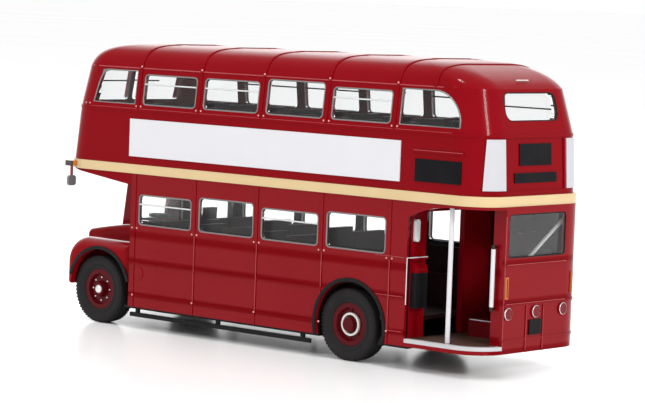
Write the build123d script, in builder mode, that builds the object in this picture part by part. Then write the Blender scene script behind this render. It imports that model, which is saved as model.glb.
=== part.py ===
"""Small die-cast model of a half-cab double decker bus with an open rear platform, 1:76 scale.

Millimetres. +X to the front, +Y to the nearside (kerb side), +Z up.
The origin is on the ground, under the middle of the model.
"""
import os

from build123d import *

os.makedirs("parts", exist_ok=True)

# Overall sizes
LENGTH = 110.3
WIDTH = 32.1
ROOF_RISE = 4.8
FRONT_OVERHANG = 10.55
CAB_LENGTH = 20.15
PLATFORM_LENGTH = 17.85
REAR_AXLE_LEAD = 14.4

# Heights above the ground
SKIRT_Z = 4.45
PLATFORM_Z = 5.9
LOW_CREASE_Z = 6.9
BELT_Z = 13.4
FLOOR_Z = 9.4
LOWER_SILL_Z = 21.15
BAND_Z = 31.4
BAND_HEIGHT = 1.85
UPPER_CREASE_Z = 44.4
UPPER_SILL_Z = 45.3
CANTRAIL_Z = 52.6

# Castings and fits
WALL = 1.1
FIT = 0.06
BEAD_HEIGHT = 0.5
BEAD_WIDTH = 0.45
BEAD_PROUD = 0.15
PLATE_PROUD = 0.22
BAND_PROUD = 0.2
REAR_CORNER_RADIUS = 6.6
FRONT_CORNER_RADIUS = 6.0

# Window bays
BAYS = 4
FRONT_END_PILLAR = 1.3
REAR_END_PILLAR = 4.12
PILLAR_WIDTH = 2.12
WINDOW_CORNER = 0.8
LOWER_OPENING_HEIGHT = 6.15
LOWER_FIXED_HEIGHT = 6.75
UPPER_OPENING_HEIGHT = 6.1
UPPER_FIXED_HEIGHT = 6.8
GLASS_RECESS = 0.15
GLASS_BACKING = 0.6
BACKING_MARGIN = 0.5

# Cab, bonnet and wing
CAB_SIDE_Y = -1.0
CAB_SILL_Z = 17.5
CAB_FRONT_SETBACK = 0.45
CAB_TOP_SETBACK = 2.4
CAB_CORNER_RADIUS = 4.0
BONNET_INSET = 7.05
BONNET_BACK_Z = 20.9
BONNET_MIDDLE_Z = 19.95
BONNET_NOSE_Z = 18.4
BONNET_NOSE_SETBACK = 1.55
BONNET_NOSE_DROP = 1.1
WING_TOP_Z = 17.3
WING_SETBACK = 1.3
WING_TIP_Z = 8.2

# Rear platform
REAR_CORNER_WIDTH = 7.35
REAR_PILLAR_WIDTH = 0.8
OPENING_FOOT_Z = 5.2
OPENING_SHOULDER_Z = 28.3
OPENING_HEAD_Z = 30.85
OPENING_ARC_LENGTH = 10.0

# Wheels and axles
TYRE_RADIUS = 6.9
TYRE_WIDTH = 4.0
TYRE_SHOULDER = 0.9
WHEEL_INSET = 2.85
RIM_RADIUS = 4.1
AXLE_RADIUS = 0.95
BEARING_CLEARANCE = 0.06
ARCH_RADIUS = 8.3
ARCH_LIP = 0.7
ARCH_SETBACK = 1.0
WHEEL_ROOM_RADIUS = 7.9

# Base
BASE_Z = 3.9
BASE_THICKNESS = 1.5
LUG_INSET = 4.6
LUG_WIDTH = 1.6
PLINTH_HOLE_RADIUS = 1.1

# Seats
SEAT_WIDTH = 9.0
CUSHION_HEIGHT = 5.2
CUSHION_DEPTH = 4.6
BACK_HEIGHT = 12.8
BACK_THICKNESS = 1.3
SEAT_BASE_THICKNESS = 0.8

# Places worked out from the sizes above
FRONT_X = LENGTH / 2
REAR_X = -LENGTH / 2
SIDE_Y = WIDTH / 2
BAND_TOP_Z = BAND_Z + BAND_HEIGHT
BULKHEAD_X = FRONT_X - CAB_LENGTH
OPENING_FRONT_X = REAR_X + PLATFORM_LENGTH
FRONT_AXLE_X = FRONT_X - FRONT_OVERHANG
REAR_AXLE_X = OPENING_FRONT_X + REAR_AXLE_LEAD
AXLE_Z = TYRE_RADIUS
TRACK = WIDTH - 2 * WHEEL_INSET
BASE_TOP_Z = BASE_Z + BASE_THICKNESS
FIRST_PILLAR_X = BULKHEAD_X - FRONT_END_PILLAR
LAST_PILLAR_X = OPENING_FRONT_X + REAR_END_PILLAR
BAY_PITCH = (FIRST_PILLAR_X - LAST_PILLAR_X) / BAYS
WINDOW_WIDTH = BAY_PITCH - PILLAR_WIDTH
PILLARS_X = [FIRST_PILLAR_X - pillar * BAY_PITCH for pillar in range(BAYS + 1)]
REAR_WINDOW_WIDTH = WIDTH - 2 * REAR_CORNER_WIDTH
REAR_PANEL_EDGE_Y = REAR_WINDOW_WIDTH / 2 + REAR_PILLAR_WIDTH
BONNET_SIDE_Y = SIDE_Y - BONNET_INSET

pieces = {}


def rounded_plan(z, rear_x, front_x, half_width, rear_radius, front_radius):
    """One rounded plan of the body at height z."""
    with BuildSketch(Plane.XY.offset(z)) as outline:
        with Locations(((rear_x + front_x) / 2, 0)):
            Rectangle(front_x - rear_x, 2 * half_width)
        fillet(outline.vertices().group_by(Axis.X)[0], rear_radius)
        fillet(outline.vertices().group_by(Axis.X)[-1], front_radius)
    return outline.sketch


def side_window(bay, sill_z, height, inset=0.0):
    """Draws one bay's window on a side view, bay 0 being the first behind the bulkhead."""
    with Locations((FIRST_PILLAR_X - (bay + 0.5) * BAY_PITCH, sill_z + height / 2)):
        RectangleRounded(WINDOW_WIDTH - 2 * inset, height - 2 * inset, WINDOW_CORNER)


# Lower body casting

# height, setback of the cab's front from the front of the model
CAB_SECTIONS = (
    (SKIRT_Z, CAB_FRONT_SETBACK),
    (CAB_SILL_Z, CAB_FRONT_SETBACK),
    (BAND_Z, CAB_TOP_SETBACK),
)

# bay, window height
LOWER_WINDOWS = (
    (0, LOWER_OPENING_HEIGHT),
    (1, LOWER_FIXED_HEIGHT),
    (2, LOWER_OPENING_HEIGHT),
    (3, LOWER_FIXED_HEIGHT),
)
REAR_WINDOW_SILL_Z = 22.0
REAR_WINDOW_HEIGHT = 8.0
CAB_WINDOW_SILL_Z = 20.0
CAB_WINDOW_HEIGHT = 8.4
CAB_REAR_PILLAR = 2.2
CAB_WINDOW_REAR_X = BULKHEAD_X + CAB_REAR_PILLAR
CAB_FRONT_PILLAR = 5.15
CAB_WINDOW_FRONT_X = FRONT_X - CAB_FRONT_PILLAR
SCREEN_OUTER_PILLAR = 2.85
SCREEN_INNER_PILLAR = 2.2
SCREEN_WIDTH = SIDE_Y + CAB_SIDE_Y - SCREEN_OUTER_PILLAR - SCREEN_INNER_PILLAR
SCREEN_Y = CAB_SIDE_Y - SCREEN_INNER_PILLAR - SCREEN_WIDTH / 2
BULKHEAD_MIDDLE_PILLAR = 3.2
BULKHEAD_END_PILLAR = 2.45
BULKHEAD_WINDOW_WIDTH = SIDE_Y - BULKHEAD_MIDDLE_PILLAR / 2 - BULKHEAD_END_PILLAR
BULKHEAD_WINDOW_Y = (BULKHEAD_MIDDLE_PILLAR + BULKHEAD_WINDOW_WIDTH) / 2
BULKHEAD_WINDOW_Z = LOWER_SILL_Z + LOWER_FIXED_HEIGHT / 2
BULKHEAD_WINDOWS = [(side * BULKHEAD_WINDOW_Y, BULKHEAD_WINDOW_Z) for side in (-1, 1)]
REAR_CREASE_Z = 20.6
DOOR_WIDTH = 5.2
POST_DEPTH = 2.9
FILLER_SETBACK = 2.9
FILLER_X = BULKHEAD_X - FILLER_SETBACK
FILLER_Z = 11.45
FILLER_RADIUS = 1.2
CUT = 2 * WALL


def lower_plan(z, cab_front_x, proud=0.0):
    """Plan of saloon and cab at height z."""
    side = SIDE_Y + proud
    with BuildSketch(Plane.XY.offset(z)) as outline:
        with BuildLine():
            Polyline(
                (REAR_X - proud, -side),
                (cab_front_x + proud, -side),
                (cab_front_x + proud, CAB_SIDE_Y),
                (BULKHEAD_X, CAB_SIDE_Y),
                (BULKHEAD_X, side),
                (REAR_X - proud, side),
                close=True,
            )
        make_face()
        fillet(outline.vertices().group_by(Axis.X)[0], REAR_CORNER_RADIUS + proud)
        cab_front = outline.vertices().group_by(Axis.X)[-1]
        fillet(cab_front.sort_by(Axis.Y)[0], CAB_CORNER_RADIUS + proud)
    return outline.sketch


def cab_room(z, cab_front_x):
    """Plan of the driver's space at height z."""
    with BuildSketch(Plane.XY.offset(z)) as outline:
        with BuildLine():
            Polyline(
                (BULKHEAD_X, -SIDE_Y + WALL),
                (cab_front_x - WALL, -SIDE_Y + WALL),
                (cab_front_x - WALL, CAB_SIDE_Y - WALL),
                (BULKHEAD_X, CAB_SIDE_Y - WALL),
                close=True,
            )
        make_face()
        cab_front = outline.vertices().group_by(Axis.X)[-1]
        fillet(cab_front.sort_by(Axis.Y)[0], CAB_CORNER_RADIUS - WALL)
    return outline.sketch


with BuildPart() as platform_post:
    extrude(lower_plan(PLATFORM_Z, FRONT_X), amount=BAND_Z - PLATFORM_Z)
    with BuildSketch(Plane.XY.offset(PLATFORM_Z)):
        with Locations((REAR_X, REAR_PANEL_EDGE_Y)):
            Rectangle(POST_DEPTH, REAR_PILLAR_WIDTH - FIT, align=(Align.MIN, Align.MAX))
    extrude(amount=BAND_Z - PLATFORM_Z, mode=Mode.INTERSECT)

with BuildPart() as lower_body:
    for height, setback in CAB_SECTIONS:
        add(lower_plan(height, FRONT_X - setback))
    loft(ruled=True)
    # beads along the sides, up the pillars, and round the emergency door and the filler
    for bead_z in (LOW_CREASE_Z, BELT_Z):
        add(lower_plan(bead_z - BEAD_HEIGHT / 2, FRONT_X - CAB_FRONT_SETBACK, BEAD_PROUD))
        extrude(amount=BEAD_HEIGHT)
    with BuildSketch(Plane.XZ):
        with Locations(*((x, SKIRT_Z) for x in PILLARS_X)):
            Rectangle(BEAD_WIDTH, BAND_Z - SKIRT_Z, align=(Align.CENTER, Align.MIN))
    extrude(amount=SIDE_Y + BEAD_PROUD, both=True)
    with BuildSketch(Plane.XZ):
        with Locations((FILLER_X, FILLER_Z)):
            Circle(FILLER_RADIUS)
    extrude(amount=-(SIDE_Y + BEAD_PROUD))
    with BuildSketch(Plane.YZ.offset(REAR_X - BEAD_PROUD)):
        with Locations(*((side * DOOR_WIDTH / 2, SKIRT_Z) for side in (-1, 1))):
            Rectangle(BEAD_WIDTH, BELT_Z - SKIRT_Z, align=(Align.CENTER, Align.MIN))
        with Locations((0, REAR_CREASE_Z)):
            Rectangle(2 * REAR_PANEL_EDGE_Y, BEAD_HEIGHT)
    extrude(amount=WALL)
    with BuildSketch(Plane.XY.offset(SKIRT_Z)) as saloon_room:
        with Locations(((REAR_X + BULKHEAD_X) / 2, 0)):
            Rectangle(BULKHEAD_X - REAR_X - 2 * WALL, WIDTH - 2 * WALL)
        fillet(saloon_room.vertices().group_by(Axis.X)[0], REAR_CORNER_RADIUS - WALL)
    extrude(amount=BAND_Z - SKIRT_Z, mode=Mode.SUBTRACT)
    for height, setback in CAB_SECTIONS:
        add(cab_room(height, FRONT_X - setback))
    loft(ruled=True, mode=Mode.SUBTRACT)
    # the open corner of the rear platform under its curved head, and the post beside it
    with BuildSketch(Plane.XZ.offset(-REAR_PANEL_EDGE_Y)):
        with BuildLine():
            head = TangentArc(
                (OPENING_FRONT_X - OPENING_ARC_LENGTH, OPENING_HEAD_Z),
                (OPENING_FRONT_X, OPENING_SHOULDER_Z),
                tangent=(1, 0),
            )
            Polyline(
                head @ 1,
                (OPENING_FRONT_X, OPENING_FOOT_Z),
                (REAR_X - CUT, OPENING_FOOT_Z),
                (REAR_X - CUT, OPENING_HEAD_Z),
                head @ 0,
            )
        make_face()
    extrude(amount=-WIDTH, mode=Mode.SUBTRACT)
    add(platform_post.part)
    # wheel arches, and the flat round each that its rim lies on
    with BuildSketch(Plane.XZ):
        for axle_x in (FRONT_AXLE_X, REAR_AXLE_X):
            with Locations((axle_x - ARCH_SETBACK, AXLE_Z)):
                Circle(ARCH_RADIUS)
    extrude(amount=WIDTH, both=True, mode=Mode.SUBTRACT)
    for side in (-1, 1):
        with BuildSketch(Plane.XZ.offset(side * SIDE_Y)):
            for axle_x in (FRONT_AXLE_X, REAR_AXLE_X):
                with Locations((axle_x - ARCH_SETBACK, AXLE_Z)):
                    Circle(ARCH_RADIUS + ARCH_LIP)
        extrude(amount=side * WALL, mode=Mode.SUBTRACT)
    # saloon windows, both sides
    with BuildSketch(Plane.XZ):
        for bay, window_height in LOWER_WINDOWS:
            side_window(bay, LOWER_SILL_Z, window_height)
    extrude(amount=WIDTH, both=True, mode=Mode.SUBTRACT)
    # rear window
    with BuildSketch(Plane.YZ.offset(REAR_X + CUT)):
        with Locations((0, REAR_WINDOW_SILL_Z + REAR_WINDOW_HEIGHT / 2)):
            RectangleRounded(REAR_WINDOW_WIDTH, REAR_WINDOW_HEIGHT, WINDOW_CORNER)
    extrude(amount=-2 * CUT, mode=Mode.SUBTRACT)
    # bulkhead windows, over the bonnet and behind the driver
    with BuildSketch(Plane.YZ.offset(BULKHEAD_X - CUT)):
        with Locations(*BULKHEAD_WINDOWS):
            RectangleRounded(BULKHEAD_WINDOW_WIDTH, LOWER_FIXED_HEIGHT, WINDOW_CORNER)
    extrude(amount=2 * CUT, mode=Mode.SUBTRACT)
    # windscreen
    with BuildSketch(Plane.YZ.offset(FRONT_X)):
        with Locations((SCREEN_Y, CAB_WINDOW_SILL_Z + CAB_WINDOW_HEIGHT / 2)):
            RectangleRounded(SCREEN_WIDTH, CAB_WINDOW_HEIGHT, WINDOW_CORNER)
    extrude(amount=-(CAB_TOP_SETBACK + CUT), mode=Mode.SUBTRACT)
    # cab side windows, both walls of the cab
    with BuildSketch(Plane.XZ):
        with BuildLine():
            Polyline(
                (CAB_WINDOW_REAR_X, CAB_WINDOW_SILL_Z),
                (CAB_WINDOW_FRONT_X, CAB_WINDOW_SILL_Z),
                (CAB_WINDOW_FRONT_X - CAB_TOP_SETBACK / 2, CAB_WINDOW_SILL_Z + CAB_WINDOW_HEIGHT),
                (CAB_WINDOW_REAR_X, CAB_WINDOW_SILL_Z + CAB_WINDOW_HEIGHT),
                close=True,
            )
        make_face()
    extrude(amount=WIDTH, mode=Mode.SUBTRACT)
pieces["lower_body"] = lower_body.part

# Upper body casting

# height, rear inset, front inset, side inset
UPPER_SECTIONS = (
    (BAND_TOP_Z, 0.75, 0.0, 0.0),
    (UPPER_CREASE_Z, 1.45, 1.55, 0.0),
    (CANTRAIL_Z, 3.6, 3.1, 0.9),
)
CREASE_ROW = UPPER_SECTIONS[1]
HEAD_ROW = UPPER_SECTIONS[2]
FRONT_WINDOW_TOP_SETBACK = 10.35
FRONT_WINDOW_TOP_X = FRONT_X - FRONT_WINDOW_TOP_SETBACK
FRONT_WINDOW_FOOT_SETBACK = 8.35
FRONT_WINDOW_FOOT_X = FRONT_X - FRONT_WINDOW_FOOT_SETBACK
REAR_WINDOW_ARC = 6.4
REAR_WINDOW_FOOT_SETBACK = 6.75
REAR_WINDOW_FOOT_X = REAR_X + REAR_WINDOW_FOOT_SETBACK
FRONT_PILLAR = 1.6
FRONT_CORNER_WIDTH = 3.05
FRONT_PANE_WIDTH = SIDE_Y - FRONT_PILLAR / 2 - FRONT_CORNER_WIDTH
UPPER_REAR_WIDTH = 16.0
UPPER_REAR_HEIGHT = 5.2
UPPER_REAR_SILL_Z = 46.8
RECESS_Z = 34.2
RECESS_HEIGHT = 9.5
SIDE_BLIND_SETBACK = 11.25
SIDE_BLIND_X = REAR_X + SIDE_BLIND_SETBACK
SIDE_BLIND_WIDTH = 10.6
LEDGE_Z = 40.7
LEDGE_HEIGHT = 0.45
LEDGE_OVERHANG = 0.5

# bay, window height
UPPER_WINDOWS = (
    (0, UPPER_OPENING_HEIGHT),
    (1, UPPER_OPENING_HEIGHT),
    (2, UPPER_FIXED_HEIGHT),
    (3, UPPER_OPENING_HEIGHT),
)


def upper_plans(inset):
    """The upper deck's plans, drawn in by the inset."""
    return [
        rounded_plan(
            height,
            REAR_X + rear_in + inset,
            FRONT_X - front_in - inset,
            SIDE_Y - side_in - inset,
            REAR_CORNER_RADIUS - inset,
            FRONT_CORNER_RADIUS - inset,
        )
        for height, rear_in, front_in, side_in in UPPER_SECTIONS
    ]


def upper_side_windows(inset=0.0):
    """Draws the six upper windows of one side on a side view."""
    for bay, window_height in UPPER_WINDOWS:
        side_window(bay, UPPER_SILL_Z, window_height, inset)
    sill = UPPER_SILL_Z + inset
    head = UPPER_SILL_Z + UPPER_FIXED_HEIGHT - inset
    pillar = (BAY_PITCH - WINDOW_WIDTH) / 2 + inset
    Polygon(
        (FIRST_PILLAR_X + pillar, sill),
        (FRONT_WINDOW_FOOT_X - inset, sill),
        (FRONT_WINDOW_TOP_X - inset, head),
        (FIRST_PILLAR_X + pillar, head),
        align=None,
    )
    foot_x = REAR_WINDOW_FOOT_X + inset
    arc = REAR_WINDOW_ARC - inset
    with BuildLine() as rear_light:
        Line((LAST_PILLAR_X - pillar, sill), (LAST_PILLAR_X - pillar, head))
        Line((LAST_PILLAR_X - pillar, head), (foot_x + arc, head))
        RadiusArc((foot_x + arc, head), (foot_x, head - arc), -arc)
        Line((foot_x, head - arc), (foot_x, sill))
        Line((foot_x, sill), (LAST_PILLAR_X - pillar, sill))
    make_face(rear_light.edges())


def end_panes(inset=0.0):
    """Draws the two upper front windows on an end view."""
    for side in (-1, 1):
        middle_y = side * (FRONT_PANE_WIDTH + FRONT_PILLAR) / 2
        with Locations((middle_y, UPPER_SILL_Z + UPPER_FIXED_HEIGHT / 2)):
            RectangleRounded(FRONT_PANE_WIDTH - 2 * inset, UPPER_FIXED_HEIGHT - 2 * inset, WINDOW_CORNER)


def upper_rear_pane(inset=0.0):
    """Draws the upper rear window on an end view."""
    with Locations((0, UPPER_REAR_SILL_Z + UPPER_REAR_HEIGHT / 2)):
        RectangleRounded(UPPER_REAR_WIDTH - 2 * inset, UPPER_REAR_HEIGHT - 2 * inset, 2 * WINDOW_CORNER)


END_CUT = 10.0

with BuildPart() as pillar_beads:
    loft(upper_plans(-BEAD_PROUD), ruled=True)
    with BuildSketch(Plane.XZ):
        with Locations(*((x, UPPER_CREASE_Z) for x in PILLARS_X)):
            Rectangle(BEAD_WIDTH, CANTRAIL_Z - UPPER_CREASE_Z, align=(Align.CENTER, Align.MIN))
    extrude(amount=WIDTH, both=True, mode=Mode.INTERSECT)

with BuildPart() as blind_ledge:
    loft(upper_plans(-PLATE_PROUD), ruled=True)
    with BuildSketch(Plane.XZ):
        with Locations((SIDE_BLIND_X, LEDGE_Z)):
            Rectangle(SIDE_BLIND_WIDTH + 2 * LEDGE_OVERHANG, LEDGE_HEIGHT)
    extrude(amount=-WIDTH, mode=Mode.INTERSECT)

# the outermost layer of the wall, which the sunk rear panel is cut from
with BuildPart() as sunk_skin:
    loft(upper_plans(0), ruled=True)
    loft(upper_plans(PLATE_PROUD), ruled=True, mode=Mode.SUBTRACT)

with BuildPart() as rear_recess:
    add(sunk_skin.part)
    with BuildSketch(Plane.YZ):
        with Locations((0, RECESS_Z)):
            Rectangle(REAR_WINDOW_WIDTH, RECESS_HEIGHT, align=(Align.CENTER, Align.MIN))
    extrude(amount=2 * REAR_X, mode=Mode.INTERSECT)

with BuildPart() as upper_body:
    loft(upper_plans(0), ruled=True)
    add(pillar_beads.part)
    add(blind_ledge.part)
    add(rear_recess.part, mode=Mode.SUBTRACT)
    crease_bead = rounded_plan(
        UPPER_CREASE_Z - BEAD_HEIGHT,
        REAR_X + CREASE_ROW[1] - BEAD_PROUD,
        FRONT_X - CREASE_ROW[2] + BEAD_PROUD,
        SIDE_Y + BEAD_PROUD,
        REAR_CORNER_RADIUS + BEAD_PROUD,
        FRONT_CORNER_RADIUS + BEAD_PROUD,
    )
    extrude(crease_bead, amount=BEAD_HEIGHT)
    loft(upper_plans(WALL), ruled=True, mode=Mode.SUBTRACT)
    with BuildSketch(Plane.XZ):
        upper_side_windows()
    extrude(amount=WIDTH, both=True, mode=Mode.SUBTRACT)
    with BuildSketch(Plane.YZ.offset(FRONT_X)):
        end_panes()
    extrude(amount=-END_CUT, mode=Mode.SUBTRACT)
    with BuildSketch(Plane.YZ.offset(REAR_X)):
        upper_rear_pane()
    extrude(amount=END_CUT, mode=Mode.SUBTRACT)
pieces["upper_body"] = upper_body.part

# Roof casting with a raised rib over each pillar

CROWN_HALF_WIDTH = 5.05

# rise over the cantrail as a share of the whole, rear inset, front inset, side inset, corner shrink
ROOF_SECTIONS = (
    (0.0, 3.6, 3.1, 0.9, 0.0),
    (0.34, 5.8, 4.2, 1.4, 0.5),
    (0.65, 9.2, 6.2, 2.6, 1.5),
    (0.88, 13.2, 9.2, 5.1, 2.0),
    (1.0, 19.0, 15.0, SIDE_Y - CROWN_HALF_WIDTH, 3.5),
)
INNER_ROOF_SECTIONS = ROOF_SECTIONS[::2]
RIB_WIDTH = 0.7
RIB_PROUD = 0.16
REAR_RIB_SETBACK = 13.15
REAR_RIB_X = REAR_X + REAR_RIB_SETBACK


def roof_plans(sections, inset):
    """The roof's plans, drawn in and lowered by the inset."""
    return [
        rounded_plan(
            CANTRAIL_Z + share * (ROOF_RISE - inset),
            REAR_X + rear_in + inset,
            FRONT_X - front_in - inset,
            SIDE_Y - side_in - inset,
            REAR_CORNER_RADIUS - shrink - inset,
            FRONT_CORNER_RADIUS - shrink - inset,
        )
        for share, rear_in, front_in, side_in, shrink in sections
    ]


with BuildPart() as rear_rib:
    loft(roof_plans(ROOF_SECTIONS, -RIB_PROUD))
    with BuildSketch(Plane.XY.offset(CANTRAIL_Z)):
        with Locations((REAR_RIB_X, 0)):
            Rectangle(RIB_WIDTH, WIDTH)
    extrude(amount=2 * ROOF_RISE, mode=Mode.INTERSECT)

rib_points = [
    (SIDE_Y - side_in + RIB_PROUD, CANTRAIL_Z + share * (ROOF_RISE + RIB_PROUD))
    for share, _, _, side_in, _ in ROOF_SECTIONS
]
with BuildPart() as pillar_ribs:
    for pillar_x in PILLARS_X:
        with BuildSketch(Plane.YZ.offset(pillar_x - RIB_WIDTH / 2)):
            with BuildLine():
                near = Spline(*rib_points)
                far = Spline(*((-y, z) for y, z in rib_points))
                Line(near @ 0, far @ 0)
                Line(near @ 1, far @ 1)
            make_face()
        extrude(amount=RIB_WIDTH)

with BuildPart() as roof:
    loft(roof_plans(ROOF_SECTIONS, 0))
    add(rear_rib.part)
    add(pillar_ribs.part)
    loft(roof_plans(INNER_ROOF_SECTIONS, WALL), ruled=True, mode=Mode.SUBTRACT)
pieces["roof"] = roof.part

# Upper deck floor, whose edge shows as the pale waist band
BAND_REAR_INSET = 0.35
STAIR_WELL_FRONT_X = OPENING_FRONT_X - 2 * WALL
STAIR_WELL_INNER_Y = -5.5

with BuildPart() as waist_band:
    band_plan = rounded_plan(
        BAND_Z,
        REAR_X + BAND_REAR_INSET - BAND_PROUD,
        FRONT_X + BAND_PROUD,
        SIDE_Y + BAND_PROUD,
        REAR_CORNER_RADIUS,
        FRONT_CORNER_RADIUS,
    )
    extrude(band_plan, amount=BAND_HEIGHT)
    with BuildSketch(Plane.XY.offset(BAND_Z)):
        with Locations((STAIR_WELL_FRONT_X, STAIR_WELL_INNER_Y)):
            Rectangle(
                STAIR_WELL_FRONT_X - REAR_X - REAR_CORNER_RADIUS,
                SIDE_Y + STAIR_WELL_INNER_Y - 2 * WALL,
                align=(Align.MAX, Align.MAX),
            )
    extrude(amount=BAND_HEIGHT, mode=Mode.SUBTRACT)
pieces["waist_band"] = waist_band.part

# Curved panel under the upper deck, over the bonnet
CANOPY_BACK_Z = 29.0
CANOPY_NOSE_SETBACK = 5.15
CANOPY_NOSE_X = FRONT_X - CANOPY_NOSE_SETBACK
CANOPY_NOSE_Z = 30.9
CANOPY_END_SETBACK = 2.15
CANOPY_END_X = FRONT_X - CANOPY_END_SETBACK

with BuildPart() as front_canopy:
    with BuildSketch(Plane.XZ.offset(-SIDE_Y)):
        Polygon(
            (BULKHEAD_X + FIT, CANOPY_BACK_Z),
            (CANOPY_NOSE_X, CANOPY_NOSE_Z),
            (CANOPY_END_X, BAND_Z),
            (BULKHEAD_X + FIT, BAND_Z),
            align=None,
        )
    extrude(amount=SIDE_Y - CAB_SIDE_Y - FIT)
    canopy_plan = rounded_plan(
        CANOPY_BACK_Z, REAR_X, FRONT_X, SIDE_Y, REAR_CORNER_RADIUS, FRONT_CORNER_RADIUS
    )
    extrude(canopy_plan, amount=BAND_Z - CANOPY_BACK_Z, mode=Mode.INTERSECT)
pieces["front_canopy"] = front_canopy.part

# Clear mouldings: panes that stand in the openings, joined by a strip behind the wall
GLASS_DEPTH = WALL + FIT + GLASS_BACKING
STRIP_REAR_X = REAR_X + HEAD_ROW[1] + REAR_CORNER_RADIUS
STRIP_FRONT_X = FRONT_X - HEAD_ROW[2] - FRONT_CORNER_RADIUS
STRIP_LOW_Z = UPPER_SILL_Z - BACKING_MARGIN
STRIP_HEIGHT = CANTRAIL_Z - BACKING_MARGIN / 5 - STRIP_LOW_Z

with BuildPart() as upper_panes:
    loft(upper_plans(GLASS_RECESS), ruled=True)
    loft(upper_plans(GLASS_DEPTH), ruled=True, mode=Mode.SUBTRACT)

with BuildPart() as upper_strip:
    loft(upper_plans(WALL + FIT), ruled=True)
    loft(upper_plans(GLASS_DEPTH), ruled=True, mode=Mode.SUBTRACT)
    with BuildSketch(Plane.XY.offset(STRIP_LOW_Z)):
        Rectangle(2 * LENGTH, 2 * WIDTH)
    extrude(amount=STRIP_HEIGHT, mode=Mode.INTERSECT)

with BuildPart() as side_strip:
    add(upper_strip.part)
    with BuildSketch(Plane.XZ):
        with Locations(((STRIP_REAR_X + STRIP_FRONT_X) / 2, CANTRAIL_Z)):
            Rectangle(STRIP_FRONT_X - STRIP_REAR_X, CANTRAIL_Z)
    extrude(amount=-WIDTH, mode=Mode.INTERSECT)

with BuildPart() as upper_side_glazing:
    add(upper_panes.part)
    with BuildSketch(Plane.XZ):
        upper_side_windows(FIT)
    extrude(amount=-WIDTH, mode=Mode.INTERSECT)
    add(side_strip.part)
    mirror(about=Plane.XZ)
pieces["upper_side_glazing"] = upper_side_glazing.part

with BuildPart() as upper_front_glazing:
    add(upper_panes.part)
    with BuildSketch(Plane.YZ.offset(FRONT_X)):
        end_panes(FIT)
    extrude(amount=-END_CUT, mode=Mode.INTERSECT)
pieces["upper_front_glazing"] = upper_front_glazing.part

with BuildPart() as upper_rear_window:
    add(upper_panes.part)
    with BuildSketch(Plane.YZ.offset(REAR_X)):
        upper_rear_pane(FIT)
    extrude(amount=END_CUT, mode=Mode.INTERSECT)
pieces["upper_rear_window"] = upper_rear_window.part

with BuildPart() as lower_side_glazing:
    with BuildSketch(Plane.XZ.offset(-(SIDE_Y - GLASS_DEPTH))):
        for bay, window_height in LOWER_WINDOWS:
            side_window(bay, LOWER_SILL_Z, window_height, FIT)
    extrude(amount=-(GLASS_DEPTH - GLASS_RECESS))
    with BuildSketch(Plane.XZ.offset(-(SIDE_Y - GLASS_DEPTH))):
        with Locations(((FIRST_PILLAR_X + LAST_PILLAR_X) / 2, LOWER_SILL_Z + LOWER_FIXED_HEIGHT / 2)):
            Rectangle(BAYS * BAY_PITCH - BACKING_MARGIN, LOWER_FIXED_HEIGHT + 2 * BACKING_MARGIN)
    extrude(amount=-GLASS_BACKING)
    mirror(about=Plane.XZ)
pieces["lower_side_glazing"] = lower_side_glazing.part

with BuildPart() as rear_window:
    with BuildSketch(Plane.YZ.offset(REAR_X + GLASS_RECESS)):
        with Locations((0, REAR_WINDOW_SILL_Z + REAR_WINDOW_HEIGHT / 2)):
            RectangleRounded(REAR_WINDOW_WIDTH - 2 * FIT, REAR_WINDOW_HEIGHT - 2 * FIT, WINDOW_CORNER)
    extrude(amount=WALL - GLASS_RECESS)
pieces["rear_window"] = rear_window.part

with BuildPart() as bulkhead_glazing:
    with BuildSketch(Plane.YZ.offset(BULKHEAD_X - WALL)):
        with Locations(*BULKHEAD_WINDOWS):
            RectangleRounded(BULKHEAD_WINDOW_WIDTH - 2 * FIT, LOWER_FIXED_HEIGHT - 2 * FIT, WINDOW_CORNER)
    extrude(amount=WALL - GLASS_RECESS)
pieces["bulkhead_glazing"] = bulkhead_glazing.part

with BuildPart() as windscreen:
    for height, setback in CAB_SECTIONS:
        add(lower_plan(height, FRONT_X - setback - GLASS_RECESS))
    loft(ruled=True)
    for height, setback in CAB_SECTIONS:
        add(cab_room(height, FRONT_X - setback))
    loft(ruled=True, mode=Mode.SUBTRACT)
    with BuildSketch(Plane.YZ.offset(FRONT_X)):
        with Locations((SCREEN_Y, CAB_WINDOW_SILL_Z + CAB_WINDOW_HEIGHT / 2)):
            RectangleRounded(SCREEN_WIDTH - 2 * FIT, CAB_WINDOW_HEIGHT - 2 * FIT, WINDOW_CORNER)
    extrude(amount=-(CAB_TOP_SETBACK + CUT), mode=Mode.INTERSECT)
pieces["windscreen"] = windscreen.part

# outer face of the cab's wall, way into the cab
CAB_WALLS = ((-SIDE_Y, 1), (CAB_SIDE_Y, -1))

with BuildPart() as cab_windows:
    for face_y, inward in CAB_WALLS:
        with BuildSketch(Plane.XZ.offset(-(face_y + inward * GLASS_RECESS))):
            Polygon(
                (CAB_WINDOW_REAR_X + FIT, CAB_WINDOW_SILL_Z + FIT),
                (CAB_WINDOW_FRONT_X - FIT, CAB_WINDOW_SILL_Z + FIT),
                (CAB_WINDOW_FRONT_X - CAB_TOP_SETBACK / 2 - FIT, CAB_WINDOW_SILL_Z + CAB_WINDOW_HEIGHT - FIT),
                (CAB_WINDOW_REAR_X + FIT, CAB_WINDOW_SILL_Z + CAB_WINDOW_HEIGHT - FIT),
                align=None,
            )
        extrude(amount=-inward * (WALL - GLASS_RECESS))
pieces["cab_windows"] = cab_windows.part

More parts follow.
